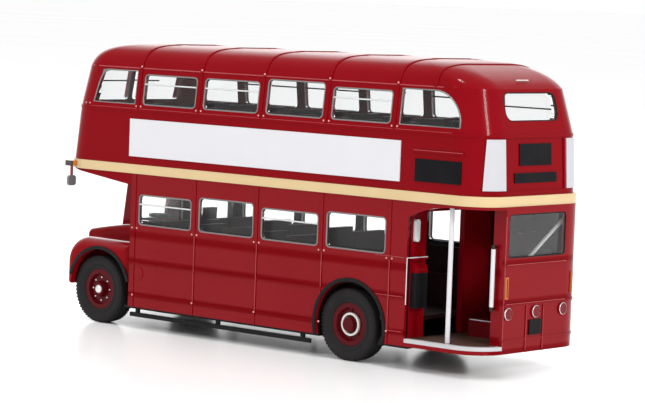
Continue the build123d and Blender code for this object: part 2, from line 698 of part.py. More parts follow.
# Boards and blank destination glasses that lie on the upper deck's skin
BOARD_FRONT_LAP = 2.0
BOARD_FRONT_X = FIRST_PILLAR_X + BOARD_FRONT_LAP
BOARD_REAR_LAP = 1.82
BOARD_REAR_X = LAST_PILLAR_X - BOARD_REAR_LAP
BOARD_Z = 34.85
BOARD_HEIGHT = 7.55
SIDE_BLIND_Z = 35.2
SIDE_BLIND_HEIGHT = 4.15
CORNER_BOARD_Z = 34.3
CORNER_BOARD_HEIGHT = 9.3
CORNER_BOARD_WIDTH = 6.75
CORNER_BOARD_EDGE_Y = SIDE_Y - CORNER_BOARD_WIDTH
CORNER_BOARD_DEPTH = 2.4
CORNER_BOARD_FRONT_X = REAR_X + CORNER_BOARD_DEPTH

with BuildPart() as upper_skin:
    loft(upper_plans(-PLATE_PROUD), ruled=True)
    loft(upper_plans(0), ruled=True, mode=Mode.SUBTRACT)

with BuildPart() as side_boards:
    add(upper_skin.part)
    with BuildSketch(Plane.XZ):
        with Locations(((BOARD_FRONT_X + BOARD_REAR_X) / 2, BOARD_Z + BOARD_HEIGHT / 2)):
            Rectangle(BOARD_FRONT_X - BOARD_REAR_X, BOARD_HEIGHT)
    extrude(amount=WIDTH, both=True, mode=Mode.INTERSECT)
pieces["side_boards"] = side_boards.part

with BuildPart() as corner_boards:
    add(upper_skin.part)
    with BuildSketch(Plane.XY.offset(CORNER_BOARD_Z)):
        for side in (-1, 1):
            with Locations((CORNER_BOARD_FRONT_X, side * (CORNER_BOARD_EDGE_Y + WIDTH / 2))):
                Rectangle(LENGTH, WIDTH, align=(Align.MAX, Align.CENTER))
    extrude(amount=CORNER_BOARD_HEIGHT, mode=Mode.INTERSECT)
pieces["corner_boards"] = corner_boards.part

with BuildPart() as side_blind:
    add(upper_skin.part)
    with BuildSketch(Plane.XZ):
        with Locations((SIDE_BLIND_X, SIDE_BLIND_Z + SIDE_BLIND_HEIGHT / 2)):
            Rectangle(SIDE_BLIND_WIDTH, SIDE_BLIND_HEIGHT)
    extrude(amount=-WIDTH, mode=Mode.INTERSECT)
pieces["side_blind"] = side_blind.part

# width, height, foot
REAR_BLINDS = ((9.7, 4.0, 38.75), (12.8, 1.8, 35.6))
FRONT_BLINDS = ((15.0, 4.6, 38.9), (15.0, 2.6, 35.6))

# name, layer that the glasses are cut from, end of the body, glasses
for name, layer, end_x, blinds in (
    ("rear_blinds", sunk_skin, REAR_X, REAR_BLINDS),
    ("front_blinds", upper_skin, FRONT_X, FRONT_BLINDS),
):
    with BuildPart() as end_blinds:
        add(layer.part)
        with BuildSketch(Plane.YZ):
            for width, height, foot in blinds:
                with Locations((0, foot + height / 2)):
                    Rectangle(width, height)
        extrude(amount=2 * end_x, mode=Mode.INTERSECT)
    pieces[name] = end_blinds.part

# Bonnet casting, a shell open below and behind
BONNET_FRONT_X = FRONT_X - CAB_FRONT_SETBACK
BONNET_NOSE_X = FRONT_X - BONNET_NOSE_SETBACK
BONNET_FOOT_Z = 5.0
BONNET_SIDE_FOOT_Z = 9.6
BONNET_EDGE_RADIUS = 0.8
GRILLE_MARGIN = 1.3
GRILLE_WIDTH = BONNET_SIDE_Y - CAB_SIDE_Y - 2 * GRILLE_MARGIN
GRILLE_Z = 6.4
GRILLE_HEIGHT = 8.2
GRILLE_Y = (CAB_SIDE_Y + BONNET_SIDE_Y) / 2


def bonnet_profile(inset):
    """Side view of the bonnet, drawn in by the inset."""
    with BuildSketch(Plane.XZ.offset(-(BONNET_SIDE_Y - inset))) as outline:
        with BuildLine():
            top = ThreePointArc(
                (BULKHEAD_X + FIT, BONNET_BACK_Z - inset),
                ((BULKHEAD_X + BONNET_NOSE_X) / 2, BONNET_MIDDLE_Z - inset),
                (BONNET_NOSE_X - inset, BONNET_NOSE_Z - inset),
            )
            nose_foot = (BONNET_FRONT_X - inset, BONNET_NOSE_Z - BONNET_NOSE_DROP)
            nose = TangentArc(top @ 1, nose_foot, tangent=top % 1)
            Polyline(
                nose @ 1,
                (BONNET_FRONT_X - inset, BONNET_FOOT_Z),
                (BULKHEAD_X + FIT, BONNET_FOOT_Z),
                top @ 0,
            )
        make_face()
    return outline.sketch


with BuildPart() as bonnet:
    extrude(bonnet_profile(0), amount=BONNET_SIDE_Y - CAB_SIDE_Y - FIT)
    near_edges = bonnet.edges().group_by(Axis.Y)[-1]
    crown = near_edges.filter_by(lambda edge: edge.center().Z > BONNET_FOOT_Z + WALL)
    crown = crown.filter_by(lambda edge: edge.center().X > BULKHEAD_X + WALL)
    fillet(crown, BONNET_EDGE_RADIUS)
    extrude(bonnet_profile(WALL), amount=BONNET_SIDE_Y - CAB_SIDE_Y - 2 * WALL, mode=Mode.SUBTRACT)
    with BuildSketch(Plane.XZ):
        with Locations((BULKHEAD_X, 0)):
            Rectangle(BONNET_FRONT_X - WALL - BULKHEAD_X, BONNET_SIDE_FOOT_Z, align=(Align.MIN, Align.MIN))
    extrude(amount=WIDTH, both=True, mode=Mode.SUBTRACT)
    with BuildSketch(Plane.YZ.offset(FRONT_X)):
        with Locations((GRILLE_Y, GRILLE_Z + GRILLE_HEIGHT / 2)):
            RectangleRounded(GRILLE_WIDTH, GRILLE_HEIGHT, WINDOW_CORNER)
    extrude(amount=-2 * CUT, mode=Mode.SUBTRACT)
pieces["bonnet"] = bonnet.part

# Radiator grille: a frame with upright bars
GRILLE_FRAME = 0.5
GRILLE_BARS = 7
BAR_WIDTH = 0.35

with BuildPart() as grille:
    with BuildSketch(Plane.YZ.offset(BONNET_FRONT_X - WALL)):
        with Locations((GRILLE_Y, GRILLE_Z + GRILLE_HEIGHT / 2)):
            RectangleRounded(GRILLE_WIDTH - 2 * FIT, GRILLE_HEIGHT - 2 * FIT, WINDOW_CORNER)
            RectangleRounded(
                GRILLE_WIDTH - 2 * GRILLE_FRAME,
                GRILLE_HEIGHT - 2 * GRILLE_FRAME,
                WINDOW_CORNER / 2,
                mode=Mode.SUBTRACT,
            )
            with GridLocations(GRILLE_WIDTH / (GRILLE_BARS + 1), 0, GRILLE_BARS, 1):
                Rectangle(BAR_WIDTH, GRILLE_HEIGHT - GRILLE_FRAME)
    extrude(amount=WALL)
    with BuildSketch(Plane.YZ.offset(BONNET_FRONT_X - WALL)):
        with Locations((GRILLE_Y, GRILLE_Z + GRILLE_HEIGHT / 2)):
            Rectangle(GRILLE_WIDTH - GRILLE_FRAME, GRILLE_HEIGHT - GRILLE_FRAME)
    extrude(amount=WALL / 3)
pieces["grille"] = grille.part

# Nearside front wing, a shell round the wheel
WING_FRONT_X = FRONT_X - WING_SETBACK
WING_NOSE_RADIUS = 5.4
WING_EDGE_RADIUS = 2.3
FRONT_ARCH_X = FRONT_AXLE_X - ARCH_SETBACK


def wing_profile(inset):
    """Side view of the wing, drawn in by the inset."""
    with BuildSketch(Plane.XZ.offset(-(SIDE_Y - inset))) as outline:
        with BuildLine():
            Polyline(
                (BULKHEAD_X + FIT, SKIRT_Z),
                (BULKHEAD_X + FIT, WING_TOP_Z - inset),
                (WING_FRONT_X - inset, WING_TOP_Z - inset),
                (WING_FRONT_X - inset, WING_TIP_Z),
                (FRONT_ARCH_X, SKIRT_Z),
                close=True,
            )
        make_face()
        nose = outline.vertices().group_by(Axis.X)[-1].sort_by(Axis.Y)[-1]
        fillet(nose, WING_NOSE_RADIUS - inset)
    return outline.sketch


with BuildPart() as front_wing:
    extrude(wing_profile(0), amount=SIDE_Y - BONNET_SIDE_Y - FIT)
    outer_edges = front_wing.edges().group_by(Axis.Y)[-1]
    fillet(outer_edges.filter_by(lambda edge: edge.center().Z > WING_TIP_Z + WALL), WING_EDGE_RADIUS)
    extrude(wing_profile(WALL), amount=SIDE_Y - BONNET_SIDE_Y - WALL - FIT, mode=Mode.SUBTRACT)
    with BuildSketch(Plane.XZ):
        with Locations((FRONT_ARCH_X, AXLE_Z)):
            Circle(ARCH_RADIUS)
    extrude(amount=-WIDTH, mode=Mode.SUBTRACT)
pieces["front_wing"] = front_wing.part

# Dark rims round the wheel arches
LIP_PROUD = 0.2

# name, axle, lowest point of the rim
for name, axle_x, lip_foot in (
    ("front_arch_rims", FRONT_AXLE_X, WING_TIP_Z + WALL),
    ("rear_arch_rims", REAR_AXLE_X, SKIRT_Z),
):
    with BuildPart() as arch_rims:
        with BuildSketch(Plane.XZ):
            with Locations((axle_x - ARCH_SETBACK, AXLE_Z)):
                Circle(ARCH_RADIUS + ARCH_LIP)
                Circle(ARCH_RADIUS, mode=Mode.SUBTRACT)
            with Locations((axle_x, lip_foot)):
                Rectangle(LENGTH, WIDTH, align=(Align.CENTER, Align.MAX), mode=Mode.SUBTRACT)
        extrude(amount=SIDE_Y + LIP_PROUD, both=True)
        with BuildSketch(Plane.XZ):
            Rectangle(2 * LENGTH, 2 * WIDTH)
        extrude(amount=SIDE_Y, both=True, mode=Mode.SUBTRACT)
    pieces[name] = arch_rims.part

# Headlamps: a rim and a domed glass
LAMP_PROUD = 0.45
HEADLAMP_INSET = 4.45
HEADLAMP_Y = SIDE_Y - HEADLAMP_INSET
HEADLAMP_Z = 11.2
HEADLAMP_RADIUS = 1.9

with BuildPart() as headlamps:
    # side of the bus, face that carries the lamp
    for side, face_x in ((1, WING_FRONT_X), (-1, BONNET_FRONT_X)):
        with BuildSketch(Plane.YZ.offset(face_x)):
            with Locations((side * HEADLAMP_Y, HEADLAMP_Z)):
                Circle(HEADLAMP_RADIUS)
        extrude(amount=FRONT_X + LAMP_PROUD - face_x)
    chamfer(headlamps.faces().group_by(Axis.X)[-1].edges(), LAMP_PROUD)
pieces["headlamps"] = headlamps.part

# Wheels, two on each axle
HUB_BACK = 1.5
HUB_DISH = 0.7
HUB_DISH_RADIUS = 3.2
HUB_BOSS_RADIUS = 1.7
HUB_BOSS_PROUD = 0.4
TYRE_SEAT = 0.03
AXLE_SEAT = 0.02

# offset from the tyre's middle, radius
TYRE_PROFILE = [
    (-TYRE_WIDTH / 2, RIM_RADIUS + TYRE_SEAT),
    (-TYRE_WIDTH / 2, TYRE_RADIUS - TYRE_SHOULDER),
    (-TYRE_WIDTH / 2 + TYRE_SHOULDER / 3, TYRE_RADIUS - TYRE_SHOULDER / 3),
    (-TYRE_WIDTH / 2 + TYRE_SHOULDER, TYRE_RADIUS),
    (TYRE_WIDTH / 2 - TYRE_SHOULDER, TYRE_RADIUS),
    (TYRE_WIDTH / 2 - TYRE_SHOULDER / 3, TYRE_RADIUS - TYRE_SHOULDER / 3),
    (TYRE_WIDTH / 2, TYRE_RADIUS - TYRE_SHOULDER),
    (TYRE_WIDTH / 2, RIM_RADIUS + TYRE_SEAT),
]
# offset outward from the wheel's middle, radius
HUB_PROFILE = [
    (-HUB_BACK, AXLE_RADIUS + AXLE_SEAT),
    (-HUB_BACK, RIM_RADIUS),
    (HUB_BACK, RIM_RADIUS),
    (HUB_BACK, HUB_DISH_RADIUS),
    (HUB_BACK - HUB_DISH, HUB_DISH_RADIUS - HUB_DISH / 2),
    (HUB_BACK - HUB_DISH, HUB_BOSS_RADIUS),
    (HUB_BACK + HUB_BOSS_PROUD, HUB_BOSS_RADIUS - HUB_BOSS_PROUD),
    (HUB_BACK + HUB_BOSS_PROUD, 0),
    (AXLE_SEAT, 0),
    (AXLE_SEAT, AXLE_RADIUS + AXLE_SEAT),
]

# end of the bus, axle
for end, axle_x in (("front", FRONT_AXLE_X), ("rear", REAR_AXLE_X)):
    turning_axis = Axis((axle_x, 0, AXLE_Z), (0, 1, 0))
    with BuildPart() as axle:
        with BuildSketch(Plane.XZ):
            with Locations((axle_x, AXLE_Z)):
                Circle(AXLE_RADIUS)
        extrude(amount=TRACK / 2, both=True)
    pieces[f"{end}_axle"] = axle.part
    for side, sign in (("left", 1), ("right", -1)):
        middle_y = sign * TRACK / 2
        with BuildPart() as tyre:
            with BuildSketch(Plane.YZ.offset(axle_x)):
                Polygon(*((middle_y + y, AXLE_Z + radius) for y, radius in TYRE_PROFILE), align=None)
            revolve(axis=turning_axis)
        pieces[f"{end}_tyre_{side}"] = tyre.part
        with BuildPart() as hub:
            with BuildSketch(Plane.YZ.offset(axle_x)):
                Polygon(*((middle_y + sign * y, AXLE_Z + radius) for y, radius in HUB_PROFILE), align=None)
            revolve(axis=turning_axis)
        pieces[f"{end}_hub_{side}"] = hub.part

# Base plate with the axle bearings and the holes for plinth screws
BASE_FRONT_X = BONNET_FRONT_X - WALL - FIT
BASE_REAR_X = OPENING_FRONT_X + FIT
LUG_Y = TRACK / 2 - LUG_INSET
LUG_LENGTH = 4.4
LUG_CAP = 0.6
LUG_TOP_Z = AXLE_Z + AXLE_RADIUS + LUG_CAP
WHEEL_ROOM_GAP = 0.8
WHEEL_ROOM_Y = TRACK / 2 - TYRE_WIDTH / 2 - WHEEL_ROOM_GAP
PLINTH_FRONT_GAP = 20.6
PLINTH_REAR_GAP = 12.9
PLINTH_HOLE_X = (FRONT_AXLE_X - PLINTH_FRONT_GAP, REAR_AXLE_X + PLINTH_REAR_GAP)
PLINTH_BOSS_RADIUS = 2.2
PLINTH_BOSS_TOP_Z = 7.6
PLINTH_PAD_PROUD = 0.4
PLINTH_PAD_MARGIN = 6.0
PLINTH_PAD_WIDTH = 11.0
PLINTH_PAD_Z = BASE_Z - PLINTH_PAD_PROUD


def wheel_rooms():
    """Side view of the space that the wheels turn in."""
    with BuildSketch(Plane.XZ) as outline:
        for axle_x in (FRONT_AXLE_X, REAR_AXLE_X):
            with Locations((axle_x, AXLE_Z)):
                Circle(WHEEL_ROOM_RADIUS)
    return outline.sketch


with BuildPart() as wheel_space:
    extrude(wheel_rooms(), amount=WIDTH, both=True)
    extrude(wheel_rooms(), amount=WHEEL_ROOM_Y, both=True, mode=Mode.SUBTRACT)

with BuildPart() as base_plate:
    with BuildSketch(Plane.XY.offset(BASE_Z)):
        with Locations(((BASE_FRONT_X + BASE_REAR_X) / 2, 0)):
            Rectangle(BASE_FRONT_X - BASE_REAR_X, 2 * (SIDE_Y - WALL - FIT))
    extrude(amount=SKIRT_Z - BASE_Z)
    with BuildSketch(Plane.XY.offset(SKIRT_Z)):
        with Locations(((BULKHEAD_X - WALL - FIT + BASE_REAR_X) / 2, 0)):
            Rectangle(BULKHEAD_X - WALL - FIT - BASE_REAR_X, 2 * (SIDE_Y - WALL - FIT))
    extrude(amount=BASE_TOP_Z - SKIRT_Z)
    add(wheel_space.part, mode=Mode.SUBTRACT)
    # the plate is narrow in front of the axle, so that the wheels stand free
    with BuildSketch(Plane.XY.offset(BASE_Z)):
        with Locations((FRONT_AXLE_X, 0)):
            Rectangle(LENGTH, WIDTH, align=(Align.MIN, Align.CENTER))
            Rectangle(LENGTH, 2 * WHEEL_ROOM_Y, align=(Align.MIN, Align.CENTER), mode=Mode.SUBTRACT)
    extrude(amount=SKIRT_Z - BASE_Z, mode=Mode.SUBTRACT)
    with BuildSketch(Plane.XZ):
        for axle_x in (FRONT_AXLE_X, REAR_AXLE_X):
            with Locations((axle_x, BASE_Z)):
                Rectangle(LUG_LENGTH, LUG_TOP_Z - BASE_Z, align=(Align.CENTER, Align.MIN))
    extrude(amount=LUG_Y + LUG_WIDTH / 2, both=True)
    with BuildSketch(Plane.XZ):
        for axle_x in (FRONT_AXLE_X, REAR_AXLE_X):
            with Locations((axle_x, BASE_TOP_Z)):
                Rectangle(LUG_LENGTH, LUG_TOP_Z, align=(Align.CENTER, Align.MIN))
    extrude(amount=LUG_Y - LUG_WIDTH / 2, both=True, mode=Mode.SUBTRACT)
    with BuildSketch(Plane.XZ):
        for axle_x in (FRONT_AXLE_X, REAR_AXLE_X):
            with Locations((axle_x, AXLE_Z)):
                Circle(AXLE_RADIUS + BEARING_CLEARANCE)
    extrude(amount=WIDTH, both=True, mode=Mode.SUBTRACT)
    # the pad that a plinth bears on, and the two screw bosses over it
    with BuildSketch(Plane.XY.offset(PLINTH_PAD_Z)):
        with Locations((sum(PLINTH_HOLE_X) / 2, 0)):
            Rectangle(max(PLINTH_HOLE_X) - min(PLINTH_HOLE_X) + 2 * PLINTH_PAD_MARGIN, PLINTH_PAD_WIDTH)
    extrude(amount=PLINTH_PAD_PROUD)
    with BuildSketch(Plane.XY.offset(BASE_Z)):
        with Locations(*((x, 0) for x in PLINTH_HOLE_X)):
            Circle(PLINTH_BOSS_RADIUS)
    extrude(amount=PLINTH_BOSS_TOP_Z - BASE_Z)
    with BuildSketch(Plane.XY.offset(PLINTH_PAD_Z)):
        with Locations(*((x, 0) for x in PLINTH_HOLE_X)):
            Circle(PLINTH_HOLE_RADIUS)
    extrude(amount=PLINTH_BOSS_TOP_Z - PLINTH_PAD_Z, mode=Mode.SUBTRACT)
pieces["base_plate"] = base_plate.part

# Lifeguard rails between the wheels
RAIL_Z = 2.3
RAIL_HEIGHT = 0.85
RAIL_INSET = 1.55
RAIL_Y = SIDE_Y - RAIL_INSET
RAIL_THICKNESS = 0.6
RAIL_FRONT_GAP = 9.0
RAIL_FRONT_X = FRONT_AXLE_X - RAIL_FRONT_GAP
RAIL_REAR_GAP = 9.7
RAIL_REAR_X = REAR_AXLE_X + RAIL_REAR_GAP
HANGER_WIDTH = 0.8
HANGER_INSET = 2.0
HANGERS_X = (RAIL_FRONT_X - HANGER_INSET, (RAIL_FRONT_X + RAIL_REAR_X) / 2, RAIL_REAR_X + HANGER_INSET)

with BuildPart() as lifeguards:
    with BuildSketch(Plane.XZ.offset(-(RAIL_Y - RAIL_THICKNESS / 2))):
        with Locations(((RAIL_FRONT_X + RAIL_REAR_X) / 2, RAIL_Z + RAIL_HEIGHT / 2)):
            Rectangle(RAIL_FRONT_X - RAIL_REAR_X, RAIL_HEIGHT)
        with Locations(*((x, RAIL_Z) for x in HANGERS_X)):
            Rectangle(HANGER_WIDTH, BASE_Z - RAIL_Z, align=(Align.CENTER, Align.MIN))
    extrude(amount=-RAIL_THICKNESS)
    mirror(about=Plane.XZ)
pieces["lifeguards"] = lifeguards.part

# Seat mouldings, a thin floor with rows of double seats
SEAT_CLEAR = 0.2
SEAT_OUTER_Y = SIDE_Y - GLASS_DEPTH - SEAT_CLEAR
SEAT_PITCH = BAY_PITCH / 2
LOWER_ROWS = 5
LOWER_ROW_GAP = 8.0
LOWER_ROW_X = BULKHEAD_X - LOWER_ROW_GAP
LOWER_FLOOR_REAR_X = OPENING_FRONT_X + 2 * WALL
LOWER_FLOOR_FRONT_X = BULKHEAD_X - 3 * WALL
BENCH_FRONT_X = LOWER_ROW_X - (LOWER_ROWS - 0.5) * SEAT_PITCH
BENCH_CUSHION_HEIGHT = 6.2
BENCH_BACK_HEIGHT = 11.0
UPPER_ROWS = 9
UPPER_ROW_GAP = 18.15
UPPER_ROW_X = FRONT_X - UPPER_ROW_GAP


def seat_profile(back_x, floor_z, back_height):
    """Side view of one seat that faces the front."""
    cushion_top = floor_z + CUSHION_HEIGHT
    Polygon(
        (back_x, floor_z),
        (back_x + CUSHION_DEPTH, floor_z),
        (back_x + CUSHION_DEPTH, cushion_top),
        (back_x + BACK_THICKNESS, cushion_top),
        (back_x + BACK_THICKNESS / 2, floor_z + back_height),
        (back_x - BACK_THICKNESS / 2, floor_z + back_height),
        align=None,
    )


with BuildPart() as lower_seats:
    with BuildSketch(Plane.XY.offset(FLOOR_Z - SEAT_BASE_THICKNESS)):
        with Locations(((LOWER_FLOOR_FRONT_X + LOWER_FLOOR_REAR_X) / 2, 0)):
            Rectangle(LOWER_FLOOR_FRONT_X - LOWER_FLOOR_REAR_X, 2 * (SIDE_Y - WALL - FIT))
    extrude(amount=SEAT_BASE_THICKNESS)
    with BuildSketch(Plane.XZ):
        for row in range(LOWER_ROWS):
            seat_profile(LOWER_ROW_X - row * SEAT_PITCH, FLOOR_Z, BACK_HEIGHT)
    extrude(amount=SEAT_OUTER_Y, both=True)
    with BuildSketch(Plane.XZ):
        with Locations(((BULKHEAD_X + OPENING_FRONT_X) / 2, FLOOR_Z)):
            Rectangle(LENGTH, BACK_HEIGHT, align=(Align.CENTER, Align.MIN))
    extrude(amount=SEAT_OUTER_Y - SEAT_WIDTH, both=True, mode=Mode.SUBTRACT)
    # long seats over the rear wheels, facing the gangway
    with BuildSketch(Plane.YZ.offset(LOWER_FLOOR_REAR_X)):
        for side in (-1, 1):
            Polygon(
                (side * SEAT_OUTER_Y, FLOOR_Z),
                (side * SEAT_OUTER_Y, FLOOR_Z + BENCH_BACK_HEIGHT),
                (side * (SEAT_OUTER_Y - BACK_THICKNESS / 2), FLOOR_Z + BENCH_BACK_HEIGHT),
                (side * (SEAT_OUTER_Y - BACK_THICKNESS), FLOOR_Z + BENCH_CUSHION_HEIGHT),
                (side * (SEAT_OUTER_Y - CUSHION_DEPTH), FLOOR_Z + BENCH_CUSHION_HEIGHT),
                (side * (SEAT_OUTER_Y - CUSHION_DEPTH), FLOOR_Z),
                align=None,
            )
    extrude(amount=BENCH_FRONT_X - LOWER_FLOOR_REAR_X)
    add(wheel_space.part, mode=Mode.SUBTRACT)
pieces["lower_seats"] = lower_seats.part

UPPER_FLOOR_MARGIN = 0.25
UPPER_SEAT_FLOOR_Z = BAND_TOP_Z + SEAT_BASE_THICKNESS

with BuildPart() as upper_seats:
    upper_floor = rounded_plan(
        BAND_TOP_Z,
        REAR_X + UPPER_SECTIONS[0][1] + WALL + UPPER_FLOOR_MARGIN,
        FRONT_X - WALL - UPPER_FLOOR_MARGIN,
        SIDE_Y - WALL - UPPER_FLOOR_MARGIN,
        REAR_CORNER_RADIUS - WALL,
        FRONT_CORNER_RADIUS - WALL,
    )
    extrude(upper_floor, amount=SEAT_BASE_THICKNESS)
    with BuildSketch(Plane.XZ):
        for row in range(UPPER_ROWS):
            seat_profile(UPPER_ROW_X - row * SEAT_PITCH, UPPER_SEAT_FLOOR_Z, BACK_HEIGHT)
    extrude(amount=SEAT_OUTER_Y - HEAD_ROW[3], both=True)
    with BuildSketch(Plane.XZ):
        with Locations((0, UPPER_SEAT_FLOOR_Z)):
            Rectangle(LENGTH, BACK_HEIGHT, align=(Align.CENTER, Align.MIN))
    extrude(amount=SEAT_OUTER_Y - SEAT_WIDTH, both=True, mode=Mode.SUBTRACT)
    with BuildSketch(Plane.XY.offset(BAND_TOP_Z)):
        with Locations((STAIR_WELL_FRONT_X, STAIR_WELL_INNER_Y)):
            Rectangle(LENGTH, WIDTH, align=(Align.MAX, Align.MAX))
    extrude(amount=SEAT_BASE_THICKNESS + BACK_HEIGHT, mode=Mode.SUBTRACT)
pieces["upper_seats"] = upper_seats.part

# Rear platform: floor, step edge, pole, bulkhead and stairs
PLATFORM_THICKNESS = 1.2
STEP_EDGE_HEIGHT = PLATFORM_Z - OPENING_FOOT_Z

with BuildPart() as platform_floor:
    floor_plan = rounded_plan(
        PLATFORM_Z - PLATFORM_THICKNESS,
        REAR_X + WALL + FIT,
        FRONT_X,
        SIDE_Y - WALL - FIT,
        REAR_CORNER_RADIUS - WALL - FIT,
        FRONT_CORNER_RADIUS,
    )
    extrude(floor_plan, amount=PLATFORM_THICKNESS)
    with BuildSketch(Plane.XY):
        with Locations((OPENING_FRONT_X - FIT, 0)):
            Rectangle(LENGTH, WIDTH, align=(Align.MAX, Align.CENTER))
    extrude(amount=PLATFORM_Z, mode=Mode.INTERSECT)
pieces["platform_floor"] = platform_floor.part

with BuildPart() as step_edge:
    outer_edge = rounded_plan(
        OPENING_FOOT_Z, REAR_X, FRONT_X, SIDE_Y, REAR_CORNER_RADIUS, FRONT_CORNER_RADIUS
    )
    extrude(outer_edge, amount=STEP_EDGE_HEIGHT)
    inner_edge = rounded_plan(
        OPENING_FOOT_Z,
        REAR_X + WALL,
        FRONT_X,
        SIDE_Y - WALL,
        REAR_CORNER_RADIUS - WALL,
        FRONT_CORNER_RADIUS,
    )
    extrude(inner_edge, amount=STEP_EDGE_HEIGHT, mode=Mode.SUBTRACT)
    with BuildSketch(Plane.XY):
        with Locations((OPENING_FRONT_X - FIT, REAR_PANEL_EDGE_Y + FIT)):
            Rectangle(LENGTH, WIDTH, align=(Align.MAX, Align.MIN))
    extrude(amount=PLATFORM_Z, mode=Mode.INTERSECT)
pieces["step_edge"] = step_edge.part

POLE_SETBACK = 9.15
POLE_X = REAR_X + POLE_SETBACK
POLE_INSET = 2.05
POLE_Y = SIDE_Y - POLE_INSET
POLE_RADIUS = 0.45

with BuildPart() as platform_pole:
    with BuildSketch(Plane.XY.offset(PLATFORM_Z)):
        with Locations((POLE_X, POLE_Y)):
            Circle(POLE_RADIUS)
    extrude(amount=BAND_Z - PLATFORM_Z)
pieces["platform_pole"] = platform_pole.part

GRAB_LOW_Z = 12.3
GRAB_HIGH_Z = 24.4
GRAB_RADIUS = 0.4
GRAB_STANDOFF = 0.9
GRAB_BRACKET_RADIUS = 0.25
GRAB_SETBACK = 0.75
GRAB_X = REAR_X + POST_DEPTH - GRAB_SETBACK

with BuildPart() as grab_rail:
    with BuildSketch(Plane.XY.offset(GRAB_LOW_Z)):
        with Locations((GRAB_X, REAR_PANEL_EDGE_Y + GRAB_STANDOFF)):
            Circle(GRAB_RADIUS)
    extrude(amount=GRAB_HIGH_Z - GRAB_LOW_Z)
    with BuildSketch(Plane.XZ.offset(-REAR_PANEL_EDGE_Y)):
        with Locations(*((GRAB_X, z) for z in (GRAB_LOW_Z + GRAB_RADIUS, GRAB_HIGH_Z - GRAB_RADIUS))):
            Circle(GRAB_BRACKET_RADIUS)
    extrude(amount=-GRAB_STANDOFF)
pieces["grab_rail"] = grab_rail.part

DOORWAY_INSET = 5.65
DOORWAY_NEAR_Y = SIDE_Y - DOORWAY_INSET
DOORWAY_FAR_Y = -0.9
DOORWAY_TOP_Z = 29.2
BULKHEAD_PANE_WIDTH = 1.3
BULKHEAD_PANE_HEIGHT = 4.4
BULKHEAD_PANE_INSET = 2.4
BULKHEAD_PANE_Y = SIDE_Y - BULKHEAD_PANE_INSET
BULKHEAD_PANE_Z = 23.7
DADO_Z = 20.4
DADO_HEIGHT = 0.5
DADO_PROUD = 0.5

with BuildPart() as platform_bulkhead:
    with BuildSketch(Plane.YZ.offset(OPENING_FRONT_X)):
        with Locations((0, PLATFORM_Z)):
            Rectangle(2 * (SIDE_Y - WALL - FIT), BAND_Z - PLATFORM_Z, align=(Align.CENTER, Align.MIN))
        with Locations((DOORWAY_NEAR_Y, PLATFORM_Z)):
            Rectangle(
                DOORWAY_NEAR_Y - DOORWAY_FAR_Y,
                DOORWAY_TOP_Z - PLATFORM_Z,
                align=(Align.MAX, Align.MIN),
                mode=Mode.SUBTRACT,
            )
        with Locations((BULKHEAD_PANE_Y, BULKHEAD_PANE_Z)):
            Rectangle(
                BULKHEAD_PANE_WIDTH,
                BULKHEAD_PANE_HEIGHT,
                align=(Align.CENTER, Align.MIN),
                mode=Mode.SUBTRACT,
            )
    extrude(amount=WALL)
    # ledge under the narrow pane
    with BuildSketch(Plane.YZ.offset(OPENING_FRONT_X + WALL)):
        with Locations((DOORWAY_NEAR_Y, DADO_Z)):
            Rectangle(SIDE_Y - WALL - FIT - DOORWAY_NEAR_Y, DADO_HEIGHT, align=(Align.MIN, Align.MIN))
    extrude(amount=-(WALL + DADO_PROUD))
pieces["platform_bulkhead"] = platform_bulkhead.part

TICKET_BOX_DEPTH = 1.4
TICKET_BOX_WIDTH = 3.3
TICKET_BOX_HEIGHT = 6.6
TICKET_BOX_INSET = 3.05
TICKET_BOX_Y = SIDE_Y - TICKET_BOX_INSET
TICKET_BOX_Z = 11.5

with BuildPart() as ticket_box:
    with BuildSketch(Plane.YZ.offset(OPENING_FRONT_X)):
        with Locations((TICKET_BOX_Y, TICKET_BOX_Z)):
            Rectangle(TICKET_BOX_WIDTH, TICKET_BOX_HEIGHT, align=(Align.CENTER, Align.MIN))
    extrude(amount=-TICKET_BOX_DEPTH)
pieces["ticket_box"] = ticket_box.part

FLIGHT_WIDTH = 6.4
BOTTOM_STEP_GAP = 4.15
BOTTOM_STEP_WIDTH = PLATFORM_LENGTH - WALL - BOTTOM_STEP_GAP
REAR_STEP_WIDTHS = (BOTTOM_STEP_WIDTH, FLIGHT_WIDTH, FLIGHT_WIDTH, FLIGHT_WIDTH)
REAR_STEPS = len(REAR_STEP_WIDTHS)
SIDE_STEPS = 4
STEP_TREAD = 2.4
STAIR_HEAD_GAP = 0.75
SIDE_TREAD = (PLATFORM_LENGTH - WALL - FLIGHT_WIDTH - STAIR_HEAD_GAP) / SIDE_STEPS
STEP_RISE = (BAND_Z - PLATFORM_Z) / (REAR_STEPS + SIDE_STEPS)
FLIGHT_START_Y = 2.2
STAIR_CLEAR = 2 * FIT

